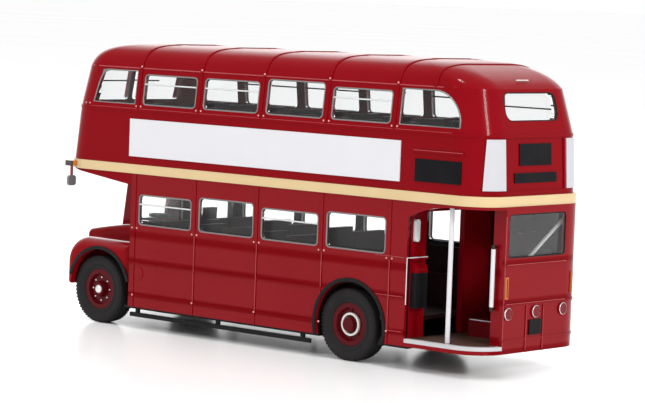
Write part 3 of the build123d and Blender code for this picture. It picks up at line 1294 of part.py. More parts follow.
with BuildPart() as staircase:
    # the lower flight climbs across the rear wall to the offside
    for step, step_width in enumerate(REAR_STEP_WIDTHS):
        step_y = FLIGHT_START_Y - step * STEP_TREAD
        with BuildSketch(Plane.XY.offset(PLATFORM_Z)):
            with Locations((REAR_X, step_y)):
                Rectangle(WALL + step_width, SIDE_Y + step_y, align=(Align.MIN, Align.MAX))
        extrude(amount=(step + 1) * STEP_RISE)
    # the upper flight climbs forward along the offside wall
    for step in range(SIDE_STEPS):
        step_x = REAR_X + WALL + FLIGHT_WIDTH + step * SIDE_TREAD
        with BuildSketch(Plane.XY.offset(PLATFORM_Z)):
            with Locations((step_x, -SIDE_Y)):
                Rectangle(SIDE_TREAD, WALL + FLIGHT_WIDTH, align=(Align.MIN, Align.MIN))
        extrude(amount=(REAR_STEPS + step + 1) * STEP_RISE - FIT)
    stair_room = rounded_plan(
        PLATFORM_Z,
        REAR_X + WALL + STAIR_CLEAR,
        FRONT_X,
        SIDE_Y - WALL - STAIR_CLEAR,
        REAR_CORNER_RADIUS - WALL - STAIR_CLEAR,
        FRONT_CORNER_RADIUS,
    )
    extrude(stair_room, amount=BAND_Z - PLATFORM_Z, mode=Mode.INTERSECT)
pieces["staircase"] = staircase.part

HANDRAIL_RADIUS = 0.35
HANDRAIL_STANDOFF = 1.0
HANDRAIL_X = REAR_X + WALL + HANDRAIL_STANDOFF
HANDRAIL_FOOT_Y = 0.2
HANDRAIL_FOOT_Z = 21.5
HANDRAIL_HEAD_INSET = 4.75
HANDRAIL_HEAD_Z = 29.1
HANDRAIL_FOOT = Vector(HANDRAIL_X, HANDRAIL_FOOT_Y, HANDRAIL_FOOT_Z)
HANDRAIL_HEAD = Vector(HANDRAIL_X, HANDRAIL_HEAD_INSET - SIDE_Y, HANDRAIL_HEAD_Z)
HANDRAIL_BRACKET = 0.5
BRACKET_RADIUS = 0.25

with BuildPart() as stair_handrail:
    with BuildSketch(Plane(HANDRAIL_FOOT, z_dir=HANDRAIL_HEAD - HANDRAIL_FOOT)):
        Circle(HANDRAIL_RADIUS)
    extrude(amount=(HANDRAIL_HEAD - HANDRAIL_FOOT).length)
    with BuildSketch(Plane.YZ.offset(HANDRAIL_X)):
        with Locations(*((end.Y, end.Z) for end in (HANDRAIL_FOOT, HANDRAIL_HEAD))):
            Circle(BRACKET_RADIUS)
    extrude(amount=-HANDRAIL_BRACKET)
pieces["stair_handrail"] = stair_handrail.part

# Driver's cab: floor with seat and dash, and the steering wheel
CAB_FLOOR_Z = 15.2
CAB_FLOOR_THICKNESS = 0.8
CAB_SEAT_GAP = 2.5
CAB_SEAT_X = BULKHEAD_X + CAB_SEAT_GAP
CAB_SEAT_WIDTH = 6.0
CAB_BACK_HEIGHT = 8.2
DASH_DEPTH = 3.0
DASH_HEIGHT = 3.6
CAB_MIDDLE_Y = (CAB_SIDE_Y - SIDE_Y) / 2
CAB_ROOM_FRONT_X = FRONT_X - CAB_FRONT_SETBACK - WALL - FIT
CAB_CLEAR = 0.4

with BuildPart() as cab_fittings:
    with BuildSketch(Plane.XY.offset(CAB_FLOOR_Z - CAB_FLOOR_THICKNESS)) as cab_floor:
        with BuildLine():
            Polyline(
                (BULKHEAD_X + FIT, -SIDE_Y + WALL + FIT),
                (CAB_ROOM_FRONT_X, -SIDE_Y + WALL + FIT),
                (CAB_ROOM_FRONT_X, CAB_SIDE_Y - WALL - FIT),
                (BULKHEAD_X + FIT, CAB_SIDE_Y - WALL - FIT),
                close=True,
            )
        make_face()
        fillet(cab_floor.vertices().group_by(Axis.X)[-1].sort_by(Axis.Y)[0], CAB_CORNER_RADIUS - WALL)
    extrude(amount=CAB_FLOOR_THICKNESS)
    with BuildSketch(Plane.XZ.offset(-(CAB_MIDDLE_Y + CAB_SEAT_WIDTH / 2))):
        seat_profile(CAB_SEAT_X, CAB_FLOOR_Z, CAB_BACK_HEIGHT)
    extrude(amount=CAB_SEAT_WIDTH)
    with BuildSketch(Plane.XY.offset(CAB_FLOOR_Z)):
        with Locations((CAB_ROOM_FRONT_X - CAB_CLEAR, CAB_MIDDLE_Y)):
            Rectangle(DASH_DEPTH, CAB_SEAT_WIDTH, align=(Align.MAX, Align.CENTER))
    extrude(amount=DASH_HEIGHT)
pieces["cab_fittings"] = cab_fittings.part

WHEEL_RING_RADIUS = 2.2
WHEEL_RIM = 0.3
COLUMN_INSET = 0.6
STEERING_X = CAB_ROOM_FRONT_X - CAB_CLEAR - DASH_DEPTH + COLUMN_INSET
STEERING_COLUMN = 1.6
steering_plane = Plane.XY.offset(CAB_FLOOR_Z + DASH_HEIGHT).move(Location((STEERING_X, CAB_MIDDLE_Y, 0)))

with BuildPart() as steering_wheel:
    with BuildSketch(steering_plane):
        Circle(WHEEL_RIM)
    extrude(amount=STEERING_COLUMN)
    with BuildSketch(steering_plane.offset(STEERING_COLUMN)):
        Circle(WHEEL_RING_RADIUS)
        Circle(WHEEL_RING_RADIUS - 2 * WHEEL_RIM, mode=Mode.SUBTRACT)
        with PolarLocations(0, 3):
            Rectangle(WHEEL_RING_RADIUS - WHEEL_RIM, WHEEL_RIM, align=(Align.MIN, Align.CENTER))
    extrude(amount=2 * WHEEL_RIM)
pieces["steering_wheel"] = steering_wheel.part

# Flashing indicators at the front corners, with the mirrors below them
EAR_SETBACK = 3.15
EAR_X = FRONT_X - EAR_SETBACK
EAR_LENGTH = 1.8
EAR_PROUD = 1.5
EAR_Z = 31.8
EAR_HEIGHT = 1.1
EAR_REACH = 4.05
EAR_INNER_Y = SIDE_Y - EAR_REACH
MIRROR_DROP = 2.0
MIRROR_HEIGHT = 2.1
MIRROR_WIDTH = 2.0
MIRROR_THICKNESS = 0.6
ARM_RADIUS = 0.3
MIRROR_Y = SIDE_Y + EAR_PROUD - MIRROR_WIDTH / 2

with BuildPart() as indicators:
    with BuildSketch(Plane.XY.offset(EAR_Z)):
        with Locations((EAR_X, (EAR_INNER_Y + SIDE_Y + EAR_PROUD) / 2)):
            Rectangle(EAR_LENGTH, SIDE_Y + EAR_PROUD - EAR_INNER_Y)
    extrude(amount=EAR_HEIGHT)
    ear_seat = rounded_plan(
        EAR_Z,
        REAR_X,
        FRONT_X + BAND_PROUD + FIT,
        SIDE_Y + BAND_PROUD + FIT,
        REAR_CORNER_RADIUS,
        FRONT_CORNER_RADIUS,
    )
    extrude(ear_seat, amount=EAR_HEIGHT, mode=Mode.SUBTRACT)
    mirror(about=Plane.XZ)
pieces["indicators"] = indicators.part

with BuildPart() as mirrors:
    with BuildSketch(Plane.XY.offset(EAR_Z - MIRROR_DROP)):
        with Locations((EAR_X, MIRROR_Y)):
            Circle(ARM_RADIUS)
    extrude(amount=MIRROR_DROP)
    with BuildSketch(Plane.YZ.offset(EAR_X - MIRROR_THICKNESS / 2)) as mirror_head:
        with Locations((MIRROR_Y, EAR_Z - MIRROR_DROP - MIRROR_HEIGHT / 2)):
            Rectangle(MIRROR_WIDTH, MIRROR_HEIGHT)
        chamfer(mirror_head.vertices(), MIRROR_WIDTH / 6)
    extrude(amount=MIRROR_THICKNESS)
    mirror(about=Plane.XZ)
pieces["mirrors"] = mirrors.part

# Rear lamps, side reflectors and blank number plate
REAR_LAMP_Z = 11.85
REAR_LAMP_RADIUS = 1.05
REAR_LAMP_Y = REAR_PANEL_EDGE_Y - REAR_LAMP_RADIUS - FIT
REAR_LAMPS_Y = (REAR_LAMP_Y, 0.0, -REAR_LAMP_Y)
REFLECTOR_Z = 14.6
REFLECTOR_HEIGHT = 4.0
REFLECTOR_WIDTH = 0.7
NEAR_REFLECTOR_INSET = 0.5
FAR_REFLECTOR_OVERHANG = 1.8
REFLECTORS_Y = (REAR_PANEL_EDGE_Y - NEAR_REFLECTOR_INSET, -REAR_PANEL_EDGE_Y - FAR_REFLECTOR_OVERHANG)
PLATE_WIDTH = 3.6
PLATE_HEIGHT = 2.8
PLATE_Z = 7.6
REFLECTOR_PROUD = 0.3

with BuildPart() as rear_lamps:
    with BuildSketch(Plane.YZ.offset(REAR_X)):
        with Locations(*((y, REAR_LAMP_Z) for y in REAR_LAMPS_Y)):
            Circle(REAR_LAMP_RADIUS)
    extrude(amount=-LAMP_PROUD)
pieces["rear_lamps"] = rear_lamps.part

with BuildPart() as rear_reflectors:
    add(lower_plan(REFLECTOR_Z, FRONT_X, REFLECTOR_PROUD))
    extrude(amount=REFLECTOR_HEIGHT)
    add(lower_plan(REFLECTOR_Z, FRONT_X))
    extrude(amount=REFLECTOR_HEIGHT, mode=Mode.SUBTRACT)
    with BuildSketch(Plane.YZ):
        with Locations(*((y, REFLECTOR_Z) for y in REFLECTORS_Y)):
            Rectangle(REFLECTOR_WIDTH, REFLECTOR_HEIGHT, align=(Align.CENTER, Align.MIN))
    extrude(amount=2 * REAR_X, mode=Mode.INTERSECT)
pieces["rear_reflectors"] = rear_reflectors.part

with BuildPart() as number_plate:
    with BuildSketch(Plane.YZ.offset(REAR_X)):
        with Locations((0, PLATE_Z + PLATE_HEIGHT / 2)):
            Rectangle(PLATE_WIDTH, PLATE_HEIGHT)
    extrude(amount=-REFLECTOR_PROUD)
pieces["number_plate"] = number_plate.part

for name, part in pieces.items():
    part.label = name
    export_step(part, f"parts/{name}.step")
    print(name, part.is_valid, round(part.volume, 2), len(part.solids()))
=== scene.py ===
import math

import bmesh
import bpy
from mathutils import Matrix, Vector


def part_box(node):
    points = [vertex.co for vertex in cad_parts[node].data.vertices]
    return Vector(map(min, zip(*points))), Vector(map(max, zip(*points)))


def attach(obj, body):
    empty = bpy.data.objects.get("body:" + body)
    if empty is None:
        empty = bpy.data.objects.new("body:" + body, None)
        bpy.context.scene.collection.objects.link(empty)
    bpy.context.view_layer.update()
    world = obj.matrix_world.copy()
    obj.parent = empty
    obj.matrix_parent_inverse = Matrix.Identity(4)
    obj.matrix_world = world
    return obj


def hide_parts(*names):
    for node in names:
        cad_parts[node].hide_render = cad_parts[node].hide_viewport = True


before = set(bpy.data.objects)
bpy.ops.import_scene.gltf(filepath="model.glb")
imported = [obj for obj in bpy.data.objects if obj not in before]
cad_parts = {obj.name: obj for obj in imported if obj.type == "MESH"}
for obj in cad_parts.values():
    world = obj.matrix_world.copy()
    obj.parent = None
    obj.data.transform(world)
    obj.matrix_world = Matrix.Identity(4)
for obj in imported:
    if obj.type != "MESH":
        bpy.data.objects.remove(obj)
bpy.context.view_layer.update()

# Base plate
# One black plastic moulding that closes the underside. It carries the axles in lugs
# and has a pad with two holes for the screws of a display plinth.
MM = 0.001


class Shade:
    """One socket of a finish. Sums, differences and products on it add Math nodes."""

    def __init__(self, tree, socket=None):
        self.tree = tree
        self.socket = socket

    def node(self, kind, settings=None, sockets=None, out=0):
        """Adds a node: its settings first, then the values or links of its sockets."""
        made = self.tree.nodes.new(kind)
        for name, value in (settings or {}).items():
            setattr(made, name, value)
        for key, value in (sockets or {}).items():
            if isinstance(value, Shade):
                self.tree.links.new(value.socket, made.inputs[key])
            else:
                made.inputs[key].default_value = value
        return Shade(self.tree, made.outputs[out])

    def math(self, operation, first, second):
        return self.node("ShaderNodeMath", {"operation": operation}, {0: first, 1: second})

    def __add__(self, other):
        return self.math("ADD", self, other)

    def __radd__(self, other):
        return self.math("ADD", other, self)

    def __sub__(self, other):
        return self.math("SUBTRACT", self, other)

    def __rsub__(self, other):
        return self.math("SUBTRACT", other, self)

    def __mul__(self, other):
        return self.math("MULTIPLY", self, other)

    def __rmul__(self, other):
        return self.math("MULTIPLY", other, self)

    def over(self, edge):
        """One where this value is over the edge, elsewhere nothing."""
        return self.math("GREATER_THAN", self, edge)

    def part(self, letter):
        """One of the three parts of this direction or place."""
        return self.node("ShaderNodeSeparateXYZ", None, {0: self}, "XYZ".index(letter))

    def axis(self, letter):
        """This place's distance along one axis, in millimetres."""
        return self.part(letter) * (1 / MM)

    def size(self):
        return self.math("ABSOLUTE", self, 0.0)

    def root(self):
        return self.math("POWER", self, 0.5)

    def at_least(self, floor):
        return self.math("MAXIMUM", self, floor)

    def at_most(self, ceiling):
        return self.math("MINIMUM", self, ceiling)

    def grain(self, grains_per_metre, detail=2.0):
        """Cloudy grain of that fineness at this place."""
        sockets = {"Vector": self, "Scale": grains_per_metre, "Detail": detail}
        return self.node("ShaderNodeTexNoise", None, sockets)

    def between(self, first, second):
        """A colour between two others, by this value."""
        return self.node("ShaderNodeMix", {"data_type": "RGBA"}, {0: self, 6: first, 7: second}, 2)

    def bump(self, height, strength=0.3):
        """A surface raised by this value times the height in metres."""
        return self.node("ShaderNodeBump", None, {"Strength": strength, "Distance": height, "Height": self})

    def feed(self, shader, key):
        self.tree.links.new(self.socket, shader.inputs[key])


def paint_pot(name, fixed):
    """A new material with the sockets that are the same all over. Gives it, its shader and its place."""
    made = bpy.data.materials.new(name)
    made.use_nodes = True
    shader = made.node_tree.nodes["Principled BSDF"]
    for key, value in fixed.items():
        shader.inputs[key].default_value = value
    place = Shade(made.node_tree).node("ShaderNodeTexCoord", out="Object")
    return made, shader, place


def moulded_plastic(name, dark, light, roughness, grains_per_metre=2500.0):
    """Moulded plastic: two close tones, an uneven gloss and a fine moulded grain."""
    made, shader, place = paint_pot(name, {"IOR": 1.49, "Specular IOR Level": 0.1})
    cloud = place.grain(180.0)
    fine = place.grain(grains_per_metre)
    cloud.between((*dark, 1), (*light, 1)).feed(shader, "Base Color")
    (roughness + (fine - 0.5) * 0.2).feed(shader, "Roughness")
    fine.bump(0.00003).feed(shader, "Normal")
    return made


def dress(material, *nodes):
    """Gives castings and mouldings of the frame their finish."""
    for node in nodes:
        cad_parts[node].data.materials.clear()
        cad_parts[node].data.materials.append(material)


black_plastic = moulded_plastic("black_plastic", (0.005, 0.005, 0.006), (0.012, 0.012, 0.013), 0.5)
dress(black_plastic, "base_plate")

# Lifeguard rails
# Thin black strips that hang from the base between the wheels on both sides.
# They are moulded with the base in the same plastic, a little shinier from handling.
dress(moulded_plastic("rail_plastic", (0.006, 0.006, 0.007), (0.014, 0.014, 0.015), 0.36), "lifeguards")

# Axles
# Plain drawn steel wire, pressed into the hubs and free in the lugs of the base.
# The draw marks run along the wire.
axle_steel, axle_shader, axle_place = paint_pot(
    "drawn_steel", {"Metallic": 1.0, "Base Color": (0.55, 0.55, 0.57, 1)}
)
stretched = axle_place.node("ShaderNodeMapping", None, {"Vector": axle_place, "Scale": (1.0, 0.02, 1.0)})
(0.25 + stretched.grain(9000.0) * 0.25).feed(axle_shader, "Roughness")
dress(axle_steel, "front_axle", "rear_axle")

# Tyres
# Soft black rubber rings pushed over the hubs. The wall bulges a little and has a raised
# ring near the rim; the tread has grooves round it and cut blocks at its shoulders.
TREAD_BLOCKS = 56
# depth, length round the tread and width of a block
BLOCK_SIZE = (0.36, 0.32, 0.5)
BLOCK_SUNK = 0.3
# share of half the tyre's width
BLOCK_PLACE = 0.81
ROUND_STEPS = 96
SHARP_ANGLE = math.radians(40)
# turns a flat ring to face along the axle
STAND_UP = Matrix.Rotation(math.pi / 2, 4, "X")

rubber, rubber_shader, rubber_place = paint_pot("tyre_rubber", {"Specular IOR Level": 0.12})
dust = rubber_place.grain(260.0)
rubber_fine = rubber_place.grain(4200.0)
dust.between((0.010, 0.009, 0.010, 1), (0.020, 0.018, 0.019, 1)).feed(rubber_shader, "Base Color")
(0.52 + dust * 0.16).feed(rubber_shader, "Roughness")
rubber_fine.bump(0.00004, 0.4).feed(rubber_shader, "Normal")

# share of the way from rim to tread, share of half the width
TYRE_WALL = (
    (0.00, 0.74), (0.06, 0.86), (0.14, 0.90), (0.20, 0.90), (0.22, 0.94), (0.30, 0.94), (0.32, 0.91),
    (0.50, 0.97), (0.66, 1.00), (0.80, 0.97), (0.90, 0.90), (0.97, 0.80), (1.00, 0.68), (1.00, 0.46),
    (0.955, 0.44), (0.955, 0.38), (1.00, 0.36), (1.00, 0.06), (0.955, 0.04),
)


def placed(name, data):
    """A new object in the scene."""
    piece = bpy.data.objects.new(name, data)
    bpy.context.scene.collection.objects.link(piece)
    return piece


def formed(name, form, material, smooth=False):
    """An object with the faces of a form, shaded smooth below the sharp angle where that is asked."""
    mesh = bpy.data.meshes.new(name)
    form.to_mesh(mesh)
    form.free()
    if smooth:
        mesh.shade_smooth()
        mesh.set_sharp_from_angle(angle=SHARP_ANGLE)
    mesh.materials.append(material)
    return placed(name, mesh)


def turned(name, section, centre, material):
    """A closed ring turned about the wheel's axis from (radius, y) points."""
    form = bmesh.new()
    rings = []
    for step in range(ROUND_STEPS):
        angle = 2 * math.pi * step / ROUND_STEPS
        across, up = math.cos(angle), math.sin(angle)
        rings.append([form.verts.new((centre.x + r * across, y, centre.z + r * up)) for r, y in section])
    for step in range(ROUND_STEPS):
        here, there = rings[step], rings[(step + 1) % ROUND_STEPS]
        for k in range(len(section)):
            following = (k + 1) % len(section)
            form.faces.new((here[k], here[following], there[following], there[k]))
    bmesh.ops.recalc_face_normals(form, faces=form.faces)
    return formed(name, form, material, smooth=True)


def new_tree(name, *sockets):
    """An empty Geometry Nodes tree with named inputs, given as (name, socket type) pairs."""
    tree = bpy.data.node_groups.new(name, "GeometryNodeTree")
    tree.interface.new_socket("Geometry", in_out="INPUT", socket_type="NodeSocketGeometry")
    inputs = [tree.interface.new_socket(label, in_out="INPUT", socket_type=kind) for label, kind in sockets]
    tree.interface.new_socket("Geometry", in_out="OUTPUT", socket_type="NodeSocketGeometry")
    return tree, tree.nodes.new("NodeGroupInput"), [socket.identifier for socket in inputs]


def step_on(tree, kind, settings=None, links=None):
    """Adds one node to a tree: its settings, then the values or links of its inputs."""
    made = tree.nodes.new(kind)
    for key, value in (settings or {}).items():
        setattr(made, key, value)
    for key, value in (links or {}).items():
        if isinstance(value, bpy.types.NodeSocket):
            tree.links.new(value, made.inputs[key])
        else:
            made.inputs[key].default_value = value
    return made


def close_tree(tree, geometry, finish):
    """Ends a tree: real meshes with their material."""
    real = step_on(tree, "GeometryNodeRealizeInstances", None, {0: geometry})
    dressed = step_on(
        tree, "GeometryNodeSetMaterial", None, {"Geometry": real.outputs[0], "Material": finish}
    )
    step_on(tree, "NodeGroupOutput", None, {0: dressed.outputs[0]})


def grown(name, source, tree, identifiers, values):
    """A plain mesh object from a tree run on a source mesh, with a value for each input."""
    holder = placed(name + "_source", source)
    modifier = holder.modifiers.new("nodes", "NODES")
    modifier.node_group = tree
    for identifier, value in zip(identifiers, values):
        modifier[identifier] = value
    mesh = bpy.data.meshes.new_from_object(holder.evaluated_get(bpy.context.evaluated_depsgraph_get()))
    bpy.data.objects.remove(holder)
    return placed(name, mesh)


# cut blocks round a tyre's shoulder
block_tree, block_in, BLOCK_IDS = new_tree(
    "tread blocks",
    ("Blocks", "NodeSocketInt"), ("Tread radius", "NodeSocketFloat"), ("Block size", "NodeSocketVector"),
    ("Finish", "NodeSocketMaterial"),
)
block_ring = step_on(
    block_tree, "GeometryNodeMeshCircle", None,
    {"Vertices": block_in.outputs[1], "Radius": block_in.outputs[2]},
)
block_cube = step_on(block_tree, "GeometryNodeMeshCube", None, {"Size": block_in.outputs[3]})
block_spot = step_on(block_tree, "GeometryNodeInputPosition")
block_turn = step_on(
    block_tree, "FunctionNodeAlignRotationToVector", {"axis": "X"}, {"Vector": block_spot.outputs[0]}
)
blocks_set = step_on(
    block_tree, "GeometryNodeInstanceOnPoints", None,
    {"Points": block_ring.outputs[0], "Instance": block_cube.outputs[0], "Rotation": block_turn.outputs[0]},
)
close_tree(block_tree, blocks_set.outputs[0], block_in.outputs[4])

for end in ("front", "rear"):
    for side in ("left", "right"):
        node = f"{end}_tyre_{side}"
        low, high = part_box(node)
        hub_low, hub_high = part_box(f"{end}_hub_{side}")
        middle = (low + high) / 2
        tread = (high.z - low.z) / 2
        half_width = (high.y - low.y) / 2
        rim = (hub_high.z - hub_low.z) / 2
        wall = [(rim + share * (tread - rim), half_width * out) for share, out in TYRE_WALL]
        section = [(r, middle.y + y) for r, y in wall] + [(r, middle.y - y) for r, y in reversed(wall)]
        tyre = turned(f"{end}_rubber_{side}", section, middle, rubber)
        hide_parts(node)
        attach(tyre, f"{end}_wheels")
        blocks = grown(
            f"{end}_tread_{side}", bpy.data.meshes.new("tread_start"), block_tree, BLOCK_IDS,
            (TREAD_BLOCKS, tread - BLOCK_SUNK * MM, tuple(length * MM for length in BLOCK_SIZE), rubber),
        )
        blocks.data.transform(Matrix.Translation(middle) @ STAND_UP)
        twin = blocks.data.copy()
        shoulder = BLOCK_PLACE * half_width
        blocks.data.transform(Matrix.Translation((0, shoulder, 0)))
        twin.transform(Matrix.Translation((0, -shoulder, 0)))
        pair = bmesh.new()
        pair.from_mesh(blocks.data)
        pair.from_mesh(twin)
        pair.to_mesh(blocks.data)
        pair.free()
        bpy.data.meshes.remove(twin)
        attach(blocks, f"{end}_wheels")

# Hubs
# Red plastic wheel centres pressed on the axle ends, with a ring of moulded wheel nuts. The front
# ones have a silvered cap, and their nuts are silver as painted highlight; the rear ones have a pale
# painted ring.
hub_red = moulded_plastic("hub_red", (0.066, 0.002, 0.004), (0.100, 0.003, 0.006), 0.24)
dress(hub_red, "front_hub_left", "front_hub_right", "rear_hub_left", "rear_hub_right")

silver, silver_shader, silver_place = paint_pot(
    "silver_paint", {"Metallic": 0.85, "Base Color": (0.72, 0.71, 0.70, 1)}
)
flake = silver_place.grain(5200.0)
(0.2 + flake * 0.22).feed(silver_shader, "Roughness")
flake.bump(0.00001, 0.2).feed(silver_shader, "Normal")


def clouded_paint(name, specular, grains_per_metre, dark, light, roughness, spread):
    """Paint whose tone and gloss vary together, in clouds of that fineness."""
    made, shader, place = paint_pot(name, {"Specular IOR Level": specular})
    cloud = place.grain(grains_per_metre)
    cloud.between((*dark, 1), (*light, 1)).feed(shader, "Base Color")
    (roughness + cloud * spread).feed(shader, "Roughness")
    return made


ring_white = clouded_paint("ring_white", 0.5, 700.0, (0.62, 0.60, 0.56), (0.80, 0.78, 0.74), 0.3, 0.2)

NUT_SIDES = 6
NUT_DEPTH = 1.0
CENTRE_HOLE = 0.02

nut_tree, nut_in, NUT_IDS = new_tree(
    "ring of wheel nuts",
    ("Nuts", "NodeSocketInt"), ("Ring radius", "NodeSocketFloat"), ("Nut radius", "NodeSocketFloat"),
    ("Nut height", "NodeSocketFloat"), ("Finish", "NodeSocketMaterial"),
)
nut_ring = step_on(
    nut_tree, "GeometryNodeMeshCircle", None, {"Vertices": nut_in.outputs[1], "Radius": nut_in.outputs[2]}
)
nut_form = step_on(
    nut_tree, "GeometryNodeMeshCylinder", None,
    {"Vertices": NUT_SIDES, "Radius": nut_in.outputs[3], "Depth": nut_in.outputs[4]},
)
nuts_set = step_on(
    nut_tree, "GeometryNodeInstanceOnPoints", None,
    {"Points": nut_ring.outputs[0], "Instance": nut_form.outputs[0]},
)
close_tree(nut_tree, nuts_set.outputs[0], nut_in.outputs[5])

# radius and height of the turned centre pieces
FRONT_CAP = ((0.0, 0.42), (0.45, 0.36), (0.75, 0.2), (0.9, 0.0), (0.9, -0.2), (0.0, -0.2))
REAR_RING = ((1.78, 0.1), (1.86, 0.16), (2.12, 0.16), (2.2, 0.1), (2.2, -0.5), (1.78, -0.5))
# end, centre piece, how far it sits below the hub's face, its finish
HUB_CENTRES = (("front", FRONT_CAP, 0.0, silver), ("rear", REAR_RING, 0.75, ring_white))
# how many, ring radius, nut radius, nut height, finish
# the front nuts are silver as painted highlight
NUTS = {"front": (8, 2.35, 0.17, 0.34, silver), "rear": (8, 2.52, 0.2, 0.3, hub_red)}

for end, centre_section, sunk, centre_finish in HUB_CENTRES:
    count, ring_radius, nut_radius, nut_height, nut_finish = NUTS[end]
    for side, way in (("left", 1), ("right", -1)):
        low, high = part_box(f"{end}_hub_{side}")
        middle = (low + high) / 2
        face_y = high.y if way > 0 else low.y
        section = [(max(r, CENTRE_HOLE) * MM, face_y + way * (y - sunk) * MM) for r, y in centre_section]
        centre = turned(f"{end}_hub_centre_{side}", section, middle, centre_finish)
        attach(centre, f"{end}_wheels")
        nuts = grown(
            f"{end}_nuts_{side}", bpy.data.meshes.new("nut_start"), nut_tree, NUT_IDS,
            (count, ring_radius * MM, nut_radius * MM, nut_height * MM, nut_finish),
        )
        spot = Vector((middle.x, face_y - way * NUT_DEPTH * MM, middle.z))
        nuts.data.transform(Matrix.Translation(spot) @ STAND_UP)
        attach(nuts, f"{end}_wheels")

# Lower body casting
# A hollow zinc casting of saloon and cab, sprayed with gloss crimson enamel outside. The enamel has a faint
# orange peel and lies a little thinner on the high spots. Bands of painted shade, darker and less glossy,
# run along the panels' beads, and the inside of the saloon is painted near black as painted shade.
CORNER_MIDDLE_X = -48.55
CORNER_MIDDLE_Y = 9.45
HALFWAY_THROUGH_WALL = 6.05
PLATFORM_POST_X = -52.0
BULKHEAD_INNER_X = 34.4
CRIMSON_THIN = (0.186, 0.0010, 0.0040, 1)
CRIMSON_FULL = (0.218, 0.0016, 0.0055, 1)
# darker crimson, painted shade in bands along the panels' beads
CRIMSON_PAINTED_SHADE = (0.160, 0.0005, 0.0028, 1)
# near black, painted shade for the inner faces of the saloon
SALOON_PAINTED_SHADE = (0.020, 0.004, 0.005, 1)


def rounding(place, along, middle_along, middle_across):
    """How far a place lies outside the straight part of a plan with rounded corners, in millimetres."""
    across = (place.axis("Y").size() - middle_across).at_least(0.0)
    beyond = (along - middle_along).at_least(0.0)
    return (across * across + beyond * beyond).root()


def enamel(name, gloss, crown=0.0, painted_shade=None, inner_shade=None):
    """Gloss crimson enamel. The crown adds gloss to faces that look up. The painted shade mask gives one
    where the enamel is painted darker as painted shade and loses its gloss; the inner shade mask gives one
    where the saloon's inside is painted near black as painted shade."""
    made, shader, place = paint_pot(name, {"IOR": 1.5, "Specular IOR Level": 0.03, "Coat Roughness": 0.03})
    flow = place.grain(55.0)
    colour = flow.between(CRIMSON_THIN, CRIMSON_FULL)
    shine = gloss * (0.8 + flow * 0.4)
    if crown:
        upward = place.node("ShaderNodeTexCoord", out="Normal").part("Z").at_least(0.0)
        shine = shine + crown * upward * upward
    # painted shade: darker crimson with less coat in bands along the beads
    if painted_shade:
        shade_and_dullness = painted_shade(place)
        colour = shade_and_dullness.between(colour, CRIMSON_PAINTED_SHADE)
        shine = shine * (1.0 - shade_and_dullness)
    # painted shade: the inside of the saloon is painted near black
    if inner_shade:
        colour = inner_shade(place).between(colour, SALOON_PAINTED_SHADE)
    colour.feed(shader, "Base Color")
    (0.15 + flow * 0.08).feed(shader, "Roughness")
    shine.feed(shader, "Coat Weight")
    place.grain(1500.0).bump(0.000012, 0.25).feed(shader, "Normal")
    return made


def saloon_inside(place):
    """One on the inner faces of the lower saloon, which are painted near black as painted shade."""
    x = place.axis("X")
    depth = rounding(place, -1.0 * x, -CORNER_MIDDLE_X, CORNER_MIDDLE_Y)
    inside = 1.0 - depth.over(HALFWAY_THROUGH_WALL)
    return inside * x.over(PLATFORM_POST_X) * (1.0 - x.over(BULKHEAD_INNER_X))


# height of a band of painted shade beside the beads, half of its width: on the sides, on the rear
SIDE_SHADE_BANDS = ((7.0, 0.75), (13.8, 0.8), (19.15, 1.1))
REAR_SHADE_BANDS = ((4.9, 0.7), (13.95, 0.75), (21.2, 0.7))
SHADE_BAND_STEEPNESS = 1.7
REAR_FACE_X = -54.4


def painted_shade_bands(place):
    """One in the bands of painted shade along the panels' beads, where the enamel also loses its gloss."""
    height = place.axis("Z")
    behind = (-1.0 * place.axis("X")).over(-REAR_FACE_X)
    painted_shade = []
    for shade_bands in (SIDE_SHADE_BANDS, REAR_SHADE_BANDS):
        rises = [(height - middle).size() * (SHADE_BAND_STEEPNESS / half) for middle, half in shade_bands]
        painted_shade.append(sum((SHADE_BAND_STEEPNESS - rise).at_least(0.0) for rise in rises))
    return (painted_shade[0] * (1.0 - behind) + painted_shade[1] * behind).at_most(1.0)


dress(enamel("lower_body_enamel", 0.2, painted_shade=painted_shade_bands, inner_shade=saloon_inside), "lower_body")

# Upper body, canopy and roof castings
# Three more zinc castings in the same enamel: the upper deck with its leaning sides, the panel under
# its front and the domed roof with a rib over each pillar.
crimson = enamel("crimson_enamel", 0.05)
dress(crimson, "upper_body", "front_canopy", "roof")

# Waist band
# The edge of the upper deck's floor, which shows all round between the castings. Only the edge is
# painted cream, and the brush leaves it slightly uneven; the rest is dark.
BAND_MIDDLE_X = 0.175
BAND_STRAIGHT_X = 48.9
BAND_STRAIGHT_Y = 9.95
BAND_RIM = 5.7
cream, cream_shader, cream_place = paint_pot("cream_enamel", {"Specular IOR Level": 0.2})
cream_cloud = cream_place.grain(140.0, 3.0)
cream_paint = cream_cloud.between((0.565, 0.42, 0.225, 1), (0.635, 0.485, 0.275, 1))
cream_along = (cream_place.axis("X") - BAND_MIDDLE_X).size()
cream_depth = rounding(cream_place, cream_along, BAND_STRAIGHT_X, BAND_STRAIGHT_Y)
cream_depth.over(BAND_RIM).between((0.030, 0.008, 0.008, 1), cream_paint).feed(cream_shader, "Base Color")
(0.24 + cream_cloud * 0.14).feed(cream_shader, "Roughness")
cream_place.grain(1300.0).bump(0.00002).feed(cream_shader, "Normal")
dress(cream, "waist_band")

# Clear mouldings
# Panes of clear styrene that stand in the window openings, joined behind the wall on the long sides.
# Their surfaces are polished, with a trace of flow from the mould.


